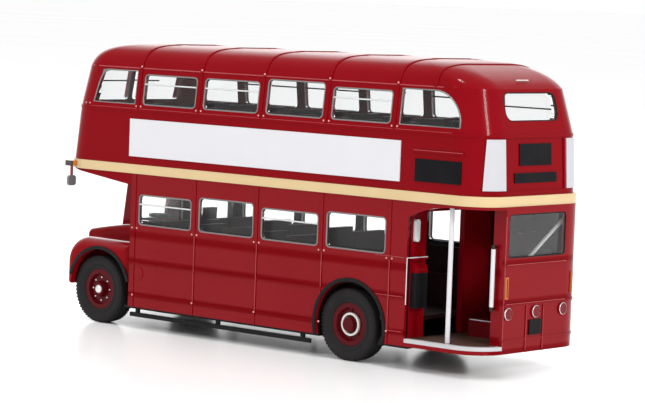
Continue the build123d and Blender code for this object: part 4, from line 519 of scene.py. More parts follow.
def clear_styrene(name, polish):
    """Clear styrene with a polished skin of that weight."""
    made, shader, place = paint_pot(
        name,
        {
            "Base Color": (0.95, 0.96, 0.96, 1), "Transmission Weight": 1.0, "IOR": 1.14,
            "Coat Weight": polish, "Coat Roughness": 0.02,
        },
    )
    ripple = place.grain(90.0)
    (0.01 + ripple * 0.03).feed(shader, "Roughness")
    ripple.bump(0.00006, 0.2).feed(shader, "Normal")
    return made


dress(
    clear_styrene("clear_styrene", 0.3), "upper_side_glazing", "upper_front_glazing", "upper_rear_window",
    "lower_side_glazing", "bulkhead_glazing", "windscreen", "cab_windows",
)
dress(clear_styrene("rear_styrene", 0.6), "rear_window")

# Window frames and light bars
# Silvered lines printed on the edge of each pane, and a thin bar across the windows that open,
# about a third of the way down, with a dark line behind it as painted shade. The end windows have dark
# rubber round them.
FIRST_PILLAR_X = 33.7
BAY_PITCH = 16.72
PANE_WIDTH = 14.48
PANE_CORNER = 0.8
LOWER_SILL_Z = 21.21
UPPER_SILL_Z = 45.36
OPENING_HEIGHT = 6.0
FIXED_HEIGHT = 6.66
BAR_DROP = 1.9
FRAME_LINE = 0.17
BAR_LINE = 0.15
BAR_BACK = 0.2
CORNER_STEPS = 5
BEAD_SIDES = 8


def silver_print(name, metallic, tone, roughness):
    """Printed silver of one tone with a fine uneven gloss."""
    made, shader, place = paint_pot(name, {"Metallic": metallic, "Base Color": (*tone, 1)})
    (roughness + place.grain(3000.0) * 0.2).feed(shader, "Roughness")
    return made


frame_silver = silver_print("frame_silver", 0.5, (0.20, 0.19, 0.19), 0.26)
bar_silver = silver_print("bar_silver", 0.3, (0.66, 0.66, 0.66), 0.3)
rubber_line = moulded_plastic("window_rubber", (0.006, 0.006, 0.006), (0.013, 0.013, 0.013), 0.42)

bead_tree, bead_in, BEAD_IDS = new_tree(
    "bead along a line", ("Bead radius", "NodeSocketFloat"), ("Finish", "NodeSocketMaterial")
)
bead_path = step_on(bead_tree, "GeometryNodeMeshToCurve", None, {"Mesh": bead_in.outputs[0]})
bead_round = step_on(
    bead_tree, "GeometryNodeCurvePrimitiveCircle", None,
    {"Resolution": BEAD_SIDES, "Radius": bead_in.outputs[1]},
)
bead_mesh = step_on(
    bead_tree, "GeometryNodeCurveToMesh", None,
    {"Curve": bead_path.outputs[0], "Profile Curve": bead_round.outputs[0], "Fill Caps": True},
)
bead_smooth = step_on(bead_tree, "GeometryNodeSetShadeSmooth", None, {"Geometry": bead_mesh.outputs[0]})
close_tree(bead_tree, bead_smooth.outputs[0], bead_in.outputs[2])


def bead(name, lines, radius, material):
    """Round beads along lines in millimetres. A line is (points, whether it is closed)."""
    path = bpy.data.meshes.new(name + "_line")
    points, edges = [], []
    for line, closed in lines:
        first = len(points)
        points += [Vector(p) * MM for p in line]
        edges += [(first + k, first + k + 1) for k in range(len(line) - 1)]
        if closed:
            edges.append((len(points) - 1, first))
    path.from_pydata(points, edges, [])
    made = grown(name, path, bead_tree, BEAD_IDS, (radius * MM, material))
    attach(made, "bus_body")


def rounded_outline(centre, width, height, corner):
    """Points round a rectangle with rounded corners, as (across, up)."""
    outline = []
    for quarter, (sign_x, sign_z) in enumerate(((1, 1), (-1, 1), (-1, -1), (1, -1))):
        for step in range(CORNER_STEPS + 1):
            angle = math.pi / 2 * (quarter + step / CORNER_STEPS)
            outline.append((
                centre[0] + sign_x * (width / 2 - corner) + corner * math.cos(angle),
                centre[1] + sign_z * (height / 2 - corner) + corner * math.sin(angle),
            ))
    return outline


SKIN_Y = 15.95
HALF_LENGTH = 55.15
LEAN_FOOT_Z = 44.4
LEAN_HEIGHT = 8.2
SIDE_LEAN = 0.9
REAR_STEP = 1.45
REAR_LEAN = 2.15
REAR_ROUND = 6.6
FRONT_STEP = 1.55
FRONT_LEAN = 1.55
FRONT_ROUND = 6.0


def lower_skin_y(x, z):
    """Half the width of the lower deck at its panes."""
    return SKIN_Y


def upper_skin_y(x, z):
    """Half the width of the upper deck at its panes: sides that lean in above the crease, rounded ends."""
    lean = max(0.0, z - LEAN_FOOT_Z) / LEAN_HEIGHT
    rear_corner = -HALF_LENGTH + REAR_STEP + REAR_LEAN * lean + REAR_ROUND
    front_corner = HALF_LENGTH - FRONT_STEP - FRONT_LEAN * lean - FRONT_ROUND
    half = SKIN_Y - SIDE_LEAN * lean
    if x < rear_corner:
        return half - REAR_ROUND + math.sqrt(REAR_ROUND ** 2 - (rear_corner - x) ** 2)
    if x > front_corner:
        return half - FRONT_ROUND + math.sqrt(FRONT_ROUND ** 2 - (x - front_corner) ** 2)
    return half


# bay, whether it opens
LOWER_BAYS = ((0, True), (1, False), (2, True), (3, False))
UPPER_BAYS = ((0, True), (1, True), (2, False), (3, True))
# x and z round the end lights of the upper deck
LIGHT_HEAD_Z = 52.0
FRONT_LIGHT_X = 34.82
REAR_LIGHT_X = -34.3
FRONT_LIGHT = [
    (FRONT_LIGHT_X, UPPER_SILL_Z), (46.72, UPPER_SILL_Z), (46.3, 46.9), (45.7, 49.2), (45.1, 50.6),
    (44.3, 51.5), (43.2, 51.95), (42.4, LIGHT_HEAD_Z), (FRONT_LIGHT_X, LIGHT_HEAD_Z),
]
ARC_STEPS = 10
ARC_X = -41.99
ARC_Z = 45.7
ARC_RADIUS = 6.3
arc_turns = [math.pi / 2 * k / ARC_STEPS for k in range(ARC_STEPS + 1)]
REAR_LIGHT = [(REAR_LIGHT_X, UPPER_SILL_Z), (REAR_LIGHT_X, LIGHT_HEAD_Z)] + [
    (ARC_X - ARC_RADIUS * math.sin(a), ARC_Z + ARC_RADIUS * math.cos(a)) for a in arc_turns
] + [(ARC_X - ARC_RADIUS, UPPER_SILL_Z)]

frame_lines, bar_lines = [], []
for bays, sill, skin in ((LOWER_BAYS, LOWER_SILL_Z, lower_skin_y), (UPPER_BAYS, UPPER_SILL_Z, upper_skin_y)):
    for bay, opens in bays:
        height = OPENING_HEIGHT if opens else FIXED_HEIGHT
        centre = (FIRST_PILLAR_X - (bay + 0.5) * BAY_PITCH, sill + height / 2)
        outline = rounded_outline(centre, PANE_WIDTH, height, PANE_CORNER)
        bar_z = sill + height - BAR_DROP
        bar_ends = (centre[0] - PANE_WIDTH / 2, centre[0] + PANE_WIDTH / 2)
        for way in (1, -1):
            frame_lines.append(([(x, way * skin(x, z), z) for x, z in outline], True))
            if opens:
                bar_lines.append(([(x, way * skin(x, bar_z), bar_z) for x in bar_ends], False))
for way in (1, -1):
    for outline in (FRONT_LIGHT, REAR_LIGHT):
        frame_lines.append(([(x, way * upper_skin_y(x, z), z) for x, z in outline], True))
bead("window_frames", frame_lines, FRAME_LINE, frame_silver)
OFFSIDE_BAR_Z = 48.4
OFFSIDE_BAR_X = (REAR_LIGHT_X, -47.6)
bar_lines.append(([(x, -upper_skin_y(x, OFFSIDE_BAR_Z), OFFSIDE_BAR_Z) for x in OFFSIDE_BAR_X], False))
FRONT_BAR_X = 52.62
FRONT_BAR_Z = 49.3
FRONT_BAR_Y = (1.0, 8.6)
# the front bars, and dark lines just behind them as painted shade
front_bars, front_shaded_backs = (
    [([(x, way * y, FRONT_BAR_Z) for y in FRONT_BAR_Y], False) for way in (1, -1)]
    for x in (FRONT_BAR_X, FRONT_BAR_X - BAR_BACK)
)
# dark lines just behind the bars, as painted shade for the bars seen from inside
shaded_back_lines = [
    ([(x, y - math.copysign(BAR_BACK, y), z) for x, y, z in line], closed) for line, closed in bar_lines
]
bead("window_bars", bar_lines + front_bars, BAR_LINE, bar_silver)
bead("window_bar_painted_shade", shaded_back_lines + front_shaded_backs, BAR_LINE, rubber_line)

FRONT_LIGHT_CORNER = (44.78, 52.02)
CORNER_PROUD = 0.08
corner_form = bmesh.new()
for way in (1, -1):
    fan = [FRONT_LIGHT_CORNER] + FRONT_LIGHT[2:8]
    corner_form.faces.new([
        corner_form.verts.new(Vector((x, way * (upper_skin_y(x, z) + CORNER_PROUD), z)) * MM)
        for x, z in fan[::way]
    ])
light_corners = formed("front_light_corners", corner_form, frame_silver)
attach(light_corners, "bus_body")

REAR_PANE_X = -55.02
UPPER_PANE_X = -53.55
UPPER_PANE_SLOPE = 0.262
BULKHEAD_PANE_X = 35.0
BULKHEAD_PANE_Y = 7.6
BULKHEAD_PANE_Z = 24.52
BULKHEAD_PANE_WIDTH = 11.9
RUBBER_LINE = 0.16
rear_pane = rounded_outline((0.0, 26.0), 17.3, 7.9, PANE_CORNER)
upper_pane = rounded_outline((0.0, 49.4), 15.9, 5.1, 2 * PANE_CORNER)
rubber_lines = [
    ([(REAR_PANE_X, y, z) for y, z in rear_pane], True),
    ([(UPPER_PANE_X + UPPER_PANE_SLOPE * (z - LEAN_FOOT_Z), y, z) for y, z in upper_pane], True),
]
for way in (1, -1):
    pane_middle = (way * BULKHEAD_PANE_Y, BULKHEAD_PANE_Z)
    pane = rounded_outline(pane_middle, BULKHEAD_PANE_WIDTH, FIXED_HEIGHT, PANE_CORNER)
    rubber_lines.append(([(BULKHEAD_PANE_X, y, z) for y, z in pane], True))
bead("window_rubbers", rubber_lines, RUBBER_LINE, rubber_line)

# Rain strip and panel edges
# A thin raised line round the joint of the upper deck and the roof, the tops of the beads that divide the
# panels, and a bright lip on the rear dome. The raised line and the bead tops are in a pale enamel as
# painted highlight.
CANTRAIL_Z = 52.62
STRIP_PROUD = 0.1
CREASE_PROUD = 0.11
BEAD_Y = 16.22
REAR_BEAD_X = -55.32
STRIP_LINE = 0.11
EDGE_LINE = 0.07
LIP_LINE = 0.12
# a pale pink enamel as painted highlight along the raised lines
highlight_red = clouded_paint("painted_highlight_enamel", 0.3, 300.0, (0.27, 0.018, 0.024), (0.44, 0.070, 0.078), 0.18, 0.14)

STRIP_X = (48.2, 45.5, 44.2, 0.0, -43.8)
CREASE_Z = 44.45
CREASE_X = (47.4, 33.9, 0.0, -46.9)

# from x, to x, height
SIDE_EDGES = ((-30.4, -36.9, 13.6), (-33.3, -36.9, 7.1), (-30.0, -36.9, 20.9))
# pillar, foot, head
PILLAR_EDGES = ((1, 7.1, 20.2), (2, 7.1, 20.2), (3, 13.6, 20.2), (4, 7.1, 20.2))
PILLAR_EDGE_BACK = 0.2
# from y and z, to y and z
REAR_EDGES = (
    ((9.1, 20.82), (-9.1, 20.82)), ((9.1, 13.62), (-9.1, 13.62)),
    ((2.75, 4.8), (2.75, 13.2)), ((-2.45, 4.8), (-2.45, 13.2)),
)
# the pillar beside the platform's opening, the panel above the platform
PILLAR_CORNER = [(-55.1, 9.46, 5.0), (-55.1, 9.46, 29.6)]
PLATFORM_HEAD = [(-38.2, 16.25, 40.92), (-49.6, 16.25, 40.92)]
strip_lines, highlight_lines = [], []
for way in (1, -1):
    strip = [(x, way * (upper_skin_y(x, CANTRAIL_Z) + STRIP_PROUD), CANTRAIL_Z) for x in STRIP_X]
    crease = [(x, way * (upper_skin_y(x, CREASE_Z) + CREASE_PROUD), CREASE_Z) for x in CREASE_X]
    strip_lines.append((strip, False))
    highlight_lines.append((crease, False))
    highlight_lines += [([(x, way * BEAD_Y, z) for x in ends], False) for *ends, z in SIDE_EDGES]
    for pillar, foot, head in PILLAR_EDGES:
        x = FIRST_PILLAR_X - pillar * BAY_PITCH - PILLAR_EDGE_BACK
        highlight_lines.append(([(x, way * BEAD_Y, foot), (x, way * BEAD_Y, head)], False))
highlight_lines += [([(REAR_BEAD_X, *first), (REAR_BEAD_X, *last)], False) for first, last in REAR_EDGES]
highlight_lines += [(PILLAR_CORNER, False), (PLATFORM_HEAD, False)]
# the rain strip and the bead tops are painted highlight in the pale enamel
bead("rain_strip", strip_lines, STRIP_LINE, highlight_red)
bead("panel_edge_highlights", highlight_lines, EDGE_LINE, highlight_red)

DOME_LIP = [(-50.2, 1.95, 54.17), (-50.2, -1.65, 54.17)]
bead("dome_lip", [(DOME_LIP, False)], LIP_LINE, bar_silver)

# Studs
# Small round rivet heads in the casting: a pair under each window pillar, and one where a rib
# meets the cantrail and where a pillar line meets the low crease. Their pale pink is painted highlight.
STUD_RADIUS = 0.2
STUD_PROUD = 0.03
PAIR_OFFSET = 0.65
PILLARS = 5

# offsets from the pillar, height, half the width there
STUD_ROWS = (
    ((-PAIR_OFFSET, PAIR_OFFSET), 20.45, 16.05),
    ((-PAIR_OFFSET, PAIR_OFFSET), 44.95, 15.98),
    ((0.0,), 52.95, 15.26),
    ((0.0,), 6.9, 16.2),
)
stud_tree, stud_in, STUD_IDS = new_tree(
    "stud heads", ("Stud radius", "NodeSocketFloat"), ("Finish", "NodeSocketMaterial")
)
stud_form = step_on(
    stud_tree, "GeometryNodeMeshUVSphere", None,
    {"Segments": 10, "Rings": 6, "Radius": stud_in.outputs[1]},
)
studs_set = step_on(
    stud_tree, "GeometryNodeInstanceOnPoints", None,
    {"Points": stud_in.outputs[0], "Instance": stud_form.outputs[0]},
)
stud_smooth = step_on(stud_tree, "GeometryNodeSetShadeSmooth", None, {"Geometry": studs_set.outputs[0]})
close_tree(stud_tree, stud_smooth.outputs[0], stud_in.outputs[2])
stud_points = [
    Vector((FIRST_PILLAR_X - pillar * BAY_PITCH + offset, way * half, z)) * MM
    for offsets, z, half in STUD_ROWS for offset in offsets for pillar in range(PILLARS) for way in (1, -1)
]
FRONT_PAIR_X = 48.4
FRONT_PAIR_Z = 44.95
for x in (FRONT_PAIR_X - PAIR_OFFSET, FRONT_PAIR_X + PAIR_OFFSET):
    half = upper_skin_y(x, FRONT_PAIR_Z) + STUD_PROUD
    stud_points += [Vector((x, way * half, FRONT_PAIR_Z)) * MM for way in (1, -1)]
stud_mesh = bpy.data.meshes.new("stud_points")
stud_mesh.from_pydata(stud_points, [], [])
# pale pink enamel as painted highlight on the stud heads
stud_highlight_pink = clouded_paint("painted_highlight_pink", 0.3, 2600.0, (0.42, 0.10, 0.10), (0.85, 0.48, 0.44), 0.2, 0.2)
studs = grown("stud_heads", stud_mesh, stud_tree, STUD_IDS, (STUD_RADIUS * MM, stud_highlight_pink))
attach(studs, "bus_body")

# Advertising boards
# Thin plain panels on the sides and round the rear corners. Satin white, slightly uneven where the
# colour was laid on.
board_white, board_shader, board_place = paint_pot("board_white", {"Specular IOR Level": 0.3})
board_cloud = board_place.grain(90.0, 3.0)
board_cloud.between((0.60, 0.595, 0.62, 1), (0.65, 0.645, 0.67, 1)).feed(board_shader, "Base Color")
(0.3 + board_place.grain(2200.0) * 0.2).feed(board_shader, "Roughness")
dress(board_white, "side_boards")
dress(moulded_plastic("corner_white", (0.47, 0.465, 0.49), (0.51, 0.505, 0.53), 0.36), "corner_boards")

# Destination glasses
# Thin plain panes of gloss black on the front, the rear and one side of the castings. The gloss is a
# little uneven, as on a small flat moulding.
blind_black = clouded_paint(
    "blind_black", 0.08, 300.0, (0.003, 0.003, 0.004), (0.007, 0.007, 0.009), 0.14, 0.14
)
dress(blind_black, "side_blind", "rear_blinds", "front_blinds")

# Bonnet and nearside wing
# Two castings that stand in front of the bulkhead, in the body's enamel. Their rounded tops carry a
# fuller gloss than the sides.
dress(enamel("bonnet_enamel", 0.05, crown=0.95), "bonnet", "front_wing")

# Grille and headlamps
# Silver plated plastic inserts in the bonnet, the wing and the cab front. The grille is dark between
# its upright bars, and the lamps have a fluted lens inside a bright rim.
BAR_PROUD = 0.15
HEADLAMP_Y = 11.6
HEADLAMP_Z = 11.2
LENS_RADIUS = 1.5
# a wave texture draws about three lines a metre for each unit of its scale
FLUTE_SCALE = 700.0
PLATE_METAL = 0.8
PLATE_BRIGHT = (0.62, 0.62, 0.64, 1)
grille_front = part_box("grille")[1].x / MM
plate, plate_shader, plate_place = paint_pot("bright_plate", {"Specular IOR Level": 0.3})
grille_bar = plate_place.axis("X").over(grille_front - BAR_PROUD)
grille_bar.between((0.02, 0.02, 0.022, 1), PLATE_BRIGHT).feed(plate_shader, "Base Color")
(grille_bar * PLATE_METAL).feed(plate_shader, "Metallic")
(0.16 + plate_place.grain(800.0) * 0.14).feed(plate_shader, "Roughness")
dress(plate, "grille")

lamp_plate, lamp_shader, lamp_place = paint_pot("headlamp_plate", {"Specular IOR Level": 0.4})
lamp_across = lamp_place.axis("Y").size() - HEADLAMP_Y
lamp_up = lamp_place.axis("Z") - HEADLAMP_Z
lamp_rim = (lamp_across * lamp_across + lamp_up * lamp_up).root().over(LENS_RADIUS)
lamp_flutes = lamp_place.node(
    "ShaderNodeTexWave", {"bands_direction": "Y"},
    {"Vector": lamp_place, "Scale": FLUTE_SCALE, "Distortion": 0.0},
)
lens_glass = lamp_flutes.between((0.28, 0.30, 0.32, 1), (0.62, 0.65, 0.68, 1))
lamp_rim.between(lens_glass, PLATE_BRIGHT).feed(lamp_shader, "Base Color")
(lamp_rim * PLATE_METAL).feed(lamp_shader, "Metallic")
(0.08 + lamp_place.grain(800.0) * 0.12).feed(lamp_shader, "Roughness")
dress(lamp_plate, "headlamps")

# Arch rims
# Raised lips round the wheel arches, painted black by hand. The paint is satin and streaked a little
# by the brush.
rim_black = clouded_paint(
    "arch_black", 0.12, 400.0, (0.004, 0.004, 0.004), (0.010, 0.010, 0.010), 0.2, 0.16
)
dress(rim_black, "front_arch_rims", "rear_arch_rims")

# Seats and cab fittings
# One moulding a deck with rows of double seats, and the driver's seat with its dash.
# Dark brown plastic with a leathery grain.
SEAT_WELD = 0.01
FLAT_ANGLE = math.radians(1.0)
EDGE_ANGLE = math.radians(30)
EDGE_ROUNDING = 0.22
BACKS_FOOT_Z = 38.0
BACKS_SHARE = 0.83
seat_brown = moulded_plastic("seat_brown", (0.020, 0.008, 0.008), (0.045, 0.017, 0.015), 0.5, 1800.0)
dress(seat_brown, "lower_seats", "cab_fittings")


def lowered_seats(node, kept_z, share):
    """A deck's seats with softer edges, their backs lowered above a height to a share of their rise."""
    form = bmesh.new()
    form.from_mesh(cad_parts[node].data)
    bmesh.ops.remove_doubles(form, verts=form.verts, dist=SEAT_WELD * MM)
    bmesh.ops.dissolve_limit(form, angle_limit=FLAT_ANGLE, verts=form.verts, edges=form.edges)
    for vert in form.verts:
        if vert.co.z > kept_z:
            vert.co.z = kept_z + share * (vert.co.z - kept_z)
    sharp = [edge for edge in form.edges if edge.is_manifold and edge.calc_face_angle(0.0) > EDGE_ANGLE]
    bmesh.ops.bevel(
        form, geom=sharp, offset=EDGE_ROUNDING * MM, segments=2, profile=0.6, affect="EDGES",
        clamp_overlap=True,
    )
    seats = formed(node + "_soft", form, seat_brown, smooth=True)
    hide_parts(node)
    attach(seats, "bus_body")


lowered_seats("upper_seats", BACKS_FOOT_Z * MM, BACKS_SHARE)
dress(black_plastic, "steering_wheel")

# Rear platform
# A brown plastic floor at the rear of the lower body, with a pale step edge along its open side. Fine
# ribs are moulded along it, as on the real one, where they shed the wet.
RIB_SCALE = 477.7
floor_brown, floor_shader, floor_place = paint_pot("platform_brown", {"Specular IOR Level": 0.12})
floor_ribs = floor_place.node(
    "ShaderNodeTexWave", {"bands_direction": "Y"},
    {"Vector": floor_place, "Scale": RIB_SCALE, "Distortion": 0.0},
)
floor_cloud = floor_place.grain(220.0)
floor_cloud.between((0.060, 0.030, 0.022, 1), (0.110, 0.058, 0.042, 1)).feed(floor_shader, "Base Color")
(0.4 + floor_cloud * 0.2).feed(floor_shader, "Roughness")
floor_ribs.bump(0.00012, 0.6).feed(floor_shader, "Normal")
dress(floor_brown, "platform_floor")

step_grey = moulded_plastic("step_grey", (0.44, 0.43, 0.44), (0.55, 0.54, 0.55), 0.34)
dress(step_grey, "step_edge")

# Platform bulkhead and staircase
# Red enamelled panels inside the platform, with white lines as painted highlight along the edge of the
# opening and the ledge beside it, and the stairs that climb to the offside, near black above the bottom
# step as painted shade. A black box with a red hood for used tickets hangs on the bulkhead.
dress(crimson, "platform_bulkhead")
STAIR_STEPS = 8
BOTTOM_STEP_Y = 2.22
BOTTOM_STEP_X = (-41.9, -53.4)
STEP_CLEARANCE = 0.1
stair_low, stair_high = (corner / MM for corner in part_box("staircase"))
bottom_step_z = stair_low.z + (stair_high.z - stair_low.z) / STAIR_STEPS
# the stairs are red on the bottom step and near black above it as painted shade
stair_red_and_painted_shade, stair_shader, stair_place = paint_pot("stair_red_and_painted_shade", {"Specular IOR Level": 0.1})
stair_cloud = stair_place.grain(180.0)
stair_painted_shade = stair_cloud.between((0.012, 0.0008, 0.0016, 1), (0.020, 0.0012, 0.0024, 1))
stair_red = stair_cloud.between((0.080, 0.0016, 0.0032, 1), (0.110, 0.0022, 0.0044, 1))
stair_upper = stair_place.axis("Z").over(bottom_step_z + STEP_CLEARANCE)
stair_upper.between(stair_red, stair_painted_shade).feed(stair_shader, "Base Color")
(0.26 + stair_cloud * 0.1).feed(stair_shader, "Roughness")
dress(stair_red_and_painted_shade, "staircase")
dress(black_plastic, "ticket_box")

box_low, box_high = (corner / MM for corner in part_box("ticket_box"))
HOOD_RISE = 1.9
HOOD_STEPS = 8
hood_depth = box_high.x - box_low.x
hood_turns = [math.pi / 2 * k / HOOD_STEPS for k in range(HOOD_STEPS + 1)]
hood_side = [(box_high.x, box_high.z)] + [
    (box_high.x - hood_depth * math.cos(a), box_high.z + HOOD_RISE * math.sin(a)) for a in hood_turns
]


def prism(name, first, second, material):
    """A closed solid between two like rings of points in millimetres."""
    form = bmesh.new()
    rings = [[form.verts.new(Vector(point) * MM) for point in ring] for ring in (first, second)]
    for k in range(len(first)):
        following = (k + 1) % len(first)
        form.faces.new((rings[0][k], rings[0][following], rings[1][following], rings[1][k]))
    for ring in rings:
        form.faces.new(ring)
    bmesh.ops.recalc_face_normals(form, faces=form.faces)
    return formed(name, form, material)


hood = prism("ticket_hood", *([(x, y, z) for x, z in hood_side] for y in (box_low.y, box_high.y)), crimson)
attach(hood, "bus_body")

PANE_FACES_X = (-37.9, -36.9)
NARROW_PANE_MIDDLE = (13.65, 25.9)
NARROW_PANE_WIDTH = 1.2
NARROW_PANE_HEIGHT = 4.2
NARROW_PANE_CORNER = 0.58
pane_outline = rounded_outline(
    NARROW_PANE_MIDDLE, NARROW_PANE_WIDTH, NARROW_PANE_HEIGHT, NARROW_PANE_CORNER
)
frosted = moulded_plastic("frosted_pane", (0.70, 0.71, 0.71), (0.80, 0.81, 0.80), 0.2)
narrow_pane = prism("bulkhead_pane", *([(x, y, z) for y, z in pane_outline] for x in PANE_FACES_X), frosted)
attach(narrow_pane, "bus_body")

rail_white = moulded_plastic("rail_white", (0.56, 0.55, 0.57), (0.66, 0.65, 0.66), 0.26)
# white lines as painted highlight along the opening's edge, the ledge beside it and the bottom step
HIGHLIGHT_LINE = 0.1
HIGHLIGHT_EDGE = [(-37.38, 15.95, 12.2), (-37.38, 15.95, 20.85), (-37.85, 14.9, 20.9), (-37.85, 10.5, 20.9)]
BOTTOM_STEP_HIGHLIGHT = [(x, BOTTOM_STEP_Y, bottom_step_z) for x in BOTTOM_STEP_X]
bead("painted_highlight_edges", [(HIGHLIGHT_EDGE, False), (BOTTOM_STEP_HIGHLIGHT, False)], HIGHLIGHT_LINE, rail_white)

# Pole and rails
# White plastic rods: the platform's pole, the grab rail on the rear pillar and the stair's handrail.
# The grab rail has a dark bracket at each end.
dress(rail_white, "platform_pole", "stair_handrail")

BRACKET_HEIGHT = 0.75
grip, grip_shader, grip_place = paint_pot("grip_white", {"Specular IOR Level": 0.3})
rail_low, rail_high = (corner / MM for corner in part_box("grab_rail"))
grip_cloud = grip_place.grain(300.0)
grip_middle = (rail_low.z + rail_high.z) / 2
grip_reach = (rail_high.z - rail_low.z) / 2 - BRACKET_HEIGHT
grip_end = (grip_place.axis("Z") - grip_middle).size().over(grip_reach)
grip_tone = grip_cloud.between((0.56, 0.55, 0.57, 1), (0.66, 0.65, 0.66, 1))
grip_end.between(grip_tone, (0.030, 0.002, 0.003, 1)).feed(grip_shader, "Base Color")
(0.24 + grip_cloud * 0.1).feed(grip_shader, "Roughness")
dress(grip, "grab_rail")

# Indicators and reflectors
# Amber plastic ears at the front corners, dark at their tips, and tall reflectors at the rear with
# an amber edge round a red lens.
EAR_TIP_Y = 17.1
amber, amber_shader, amber_place = paint_pot("amber_plastic", {"Coat Weight": 0.3})
amber_cloud = amber_place.grain(600.0)
amber_tone = amber_cloud.between((0.42, 0.11, 0.010, 1), (0.56, 0.16, 0.016, 1))
amber_tip = amber_place.axis("Y").size().over(EAR_TIP_Y)
amber_tip.between(amber_tone, (0.02, 0.015, 0.012, 1)).feed(amber_shader, "Base Color")
(0.18 + amber_cloud * 0.14).feed(amber_shader, "Roughness")
dress(amber, "indicators")

NEAR_REFLECTOR_Y = 9.0
FAR_REFLECTOR_Y = -11.3
REFLECTOR_MIDDLE_Z = 16.6
LENS_HALF_WIDTH = 0.19
LENS_HALF_HEIGHT = 1.78
reflector, reflector_shader, reflector_place = paint_pot("reflector_glass", {"Specular IOR Level": 0.2})
reflector_y = reflector_place.axis("Y")
reflector_middle = reflector_y.over(0.0) * (NEAR_REFLECTOR_Y - FAR_REFLECTOR_Y) + FAR_REFLECTOR_Y
reflector_edge = (reflector_y - reflector_middle).size().over(LENS_HALF_WIDTH)
reflector_end = (reflector_place.axis("Z") - REFLECTOR_MIDDLE_Z).size().over(LENS_HALF_HEIGHT)
reflector_rim = reflector_edge.at_least(reflector_end)
reflector_rim.between((0.14, 0.004, 0.006, 1), (0.52, 0.15, 0.03, 1)).feed(reflector_shader, "Base Color")
(0.16 + reflector_place.grain(900.0) * 0.12).feed(reflector_shader, "Roughness")
dress(reflector, "rear_reflectors")

# Mirrors
# Grey plastic heads on short arms below the indicators. Each is one small moulding with its arm, and
# the arm is painted red like the body.
ARM_FOOT_Z = 29.85
mirror_grey, mirror_shader, mirror_place = paint_pot("mirror_grey", {})
mirror_cloud = mirror_place.grain(500.0)
mirror_tone = mirror_cloud.between((0.10, 0.095, 0.10, 1), (0.17, 0.16, 0.17, 1))
mirror_arm = mirror_place.axis("Z").over(ARM_FOOT_Z)
mirror_arm.between(mirror_tone, (0.20, 0.002, 0.005, 1)).feed(mirror_shader, "Base Color")
(0.24 + mirror_cloud * 0.16).feed(mirror_shader, "Roughness")
dress(mirror_grey, "mirrors")

# Rear lamps and number plate
# A row of three red plastic lenses on the rear panel, with silvered rims round them, and a plain black
# plate low on the same panel.
lamp_red = clouded_paint("lamp_red", 0.2, 900.0, (0.11, 0.002, 0.004), (0.17, 0.004, 0.007), 0.1, 0.12)
dress(lamp_red, "rear_lamps")
dress(blind_black, "number_plate")

LAMP_STEPS = 24
RIM_LINE = 0.13
RIM_SHARE = 0.98
lamp_low, lamp_high = (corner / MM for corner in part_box("rear_lamps"))
lamp_radius = (lamp_high.z - lamp_low.z) / 2
rim_radius = RIM_SHARE * lamp_radius
rim_turns = [2 * math.pi * k / LAMP_STEPS for k in range(LAMP_STEPS)]
rim_circle = [(rim_radius * math.cos(a), rim_radius * math.sin(a)) for a in rim_turns]
lamp_lines = []
for lamp_y in (lamp_high.y - lamp_radius, 0.0, lamp_low.y + lamp_radius):
    rim = [(lamp_low.x + RIM_LINE, lamp_y + y, lamp_low.z + lamp_radius + z) for y, z in rim_circle]
    lamp_lines.append((rim, True))
bead("rear_lamp_rims", lamp_lines, RIM_LINE, silver)

# Studio
# A plain pale floor in a white room. Wide soft lamps hang overhead and stand beyond the model, and
# small ones above, on the nearside and behind it give bright glints.
FLOOR_REACH = 30.0
FLOOR_CORNERS = ((-1, -1), (1, -1), (1, 1), (-1, 1))
floor_mesh = bpy.data.meshes.new("studio_floor")
floor_mesh.from_pydata(
    [(FLOOR_REACH * x, FLOOR_REACH * y, 0) for x, y in FLOOR_CORNERS], [], [(0, 1, 2, 3)]
)
pale, pale_shader, pale_place = paint_pot(
    "pale_floor", {"Base Color": (0.95, 0.95, 0.95, 1), "Specular IOR Level": 0.25}
)
(0.20 + pale_place.grain(3.0) * 0.05).feed(pale_shader, "Roughness")
floor_mesh.materials.append(pale)
floor = placed("studio_floor", floor_mesh)

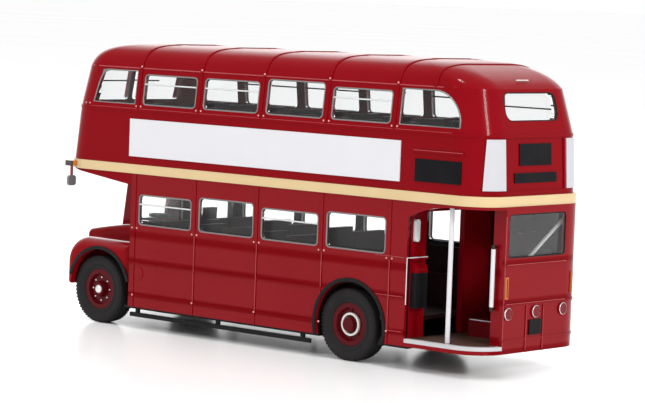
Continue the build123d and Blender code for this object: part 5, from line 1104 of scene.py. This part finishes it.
# name, place, aim, size across, size along, power
SOFT_BOXES = (
    ("overhead", (0.0, 0.05, 0.75), (0.0, 0.0, 0.0), 0.9, 0.6, 0.4),
    ("zenith", (0.05, 0.10, 0.90), (-0.03, 0.0, 0.05), 0.08, 0.08, 1.8),
    ("nearside", (0.10, 0.60, 0.50), (0.0, 0.0, 0.03), 0.06, 0.06, 1.0),
    ("rear", (-0.8, 0.12, 0.40), (0.0, 0.0, 0.03), 0.12, 0.12, 3.2),
    ("beyond", (0.45, -0.55, 0.30), (0.0, 0.0, 0.05), 1.3, 0.5, 1.7),
)
for name, place, aim, across, along, power in SOFT_BOXES:
    lamp = bpy.data.lights.new(name, "AREA")
    lamp.shape = "RECTANGLE"
    lamp.size = across
    lamp.size_y = along
    lamp.energy = power
    soft_box = placed(name, lamp)
    soft_box.location = place
    soft_box.rotation_euler = (Vector(aim) - Vector(place)).to_track_quat("-Z", "Y").to_euler()

room = bpy.data.worlds.new("white_room")
room.use_nodes = True
room.node_tree.nodes["Background"].inputs["Color"].default_value = (1.0, 1.0, 1.0, 1)
room.node_tree.nodes["Background"].inputs["Strength"].default_value = 1.0
bpy.context.scene.world = room
bpy.context.scene.view_settings.view_transform = "Standard"

# Camera
# Stands behind the nearside rear corner, a little over the waist band, with a long lens. It is rolled
# by about two degrees.
CAMERA_PLACE = Vector((-0.34269, 0.39013, 0.06802))
CAMERA_YAW = -0.8534
CAMERA_PITCH = -0.0771
CAMERA_ROLL = 0.0360
SENSOR_WIDTH = 36.0
FOCAL_PIXELS = 2635.04
IMAGE_WIDTH = 645
NEAREST_SEEN = 0.01

look = Vector((
    math.cos(CAMERA_PITCH) * math.cos(CAMERA_YAW),
    math.cos(CAMERA_PITCH) * math.sin(CAMERA_YAW),
    math.sin(CAMERA_PITCH),
))
level_right = look.cross(Vector((0, 0, 1))).normalized()
level_up = level_right.cross(look)
right = math.cos(CAMERA_ROLL) * level_right + math.sin(CAMERA_ROLL) * level_up
up = math.cos(CAMERA_ROLL) * level_up - math.sin(CAMERA_ROLL) * level_right
camera_data = bpy.data.cameras.new("camera")
camera_data.sensor_width = SENSOR_WIDTH
camera_data.lens = FOCAL_PIXELS * SENSOR_WIDTH / IMAGE_WIDTH
camera_data.clip_start = NEAREST_SEEN
camera = placed("camera", camera_data)
camera.matrix_world = Matrix.Translation(CAMERA_PLACE) @ Matrix((right, up, -look)).transposed().to_4x4()
bpy.context.scene.camera = camera
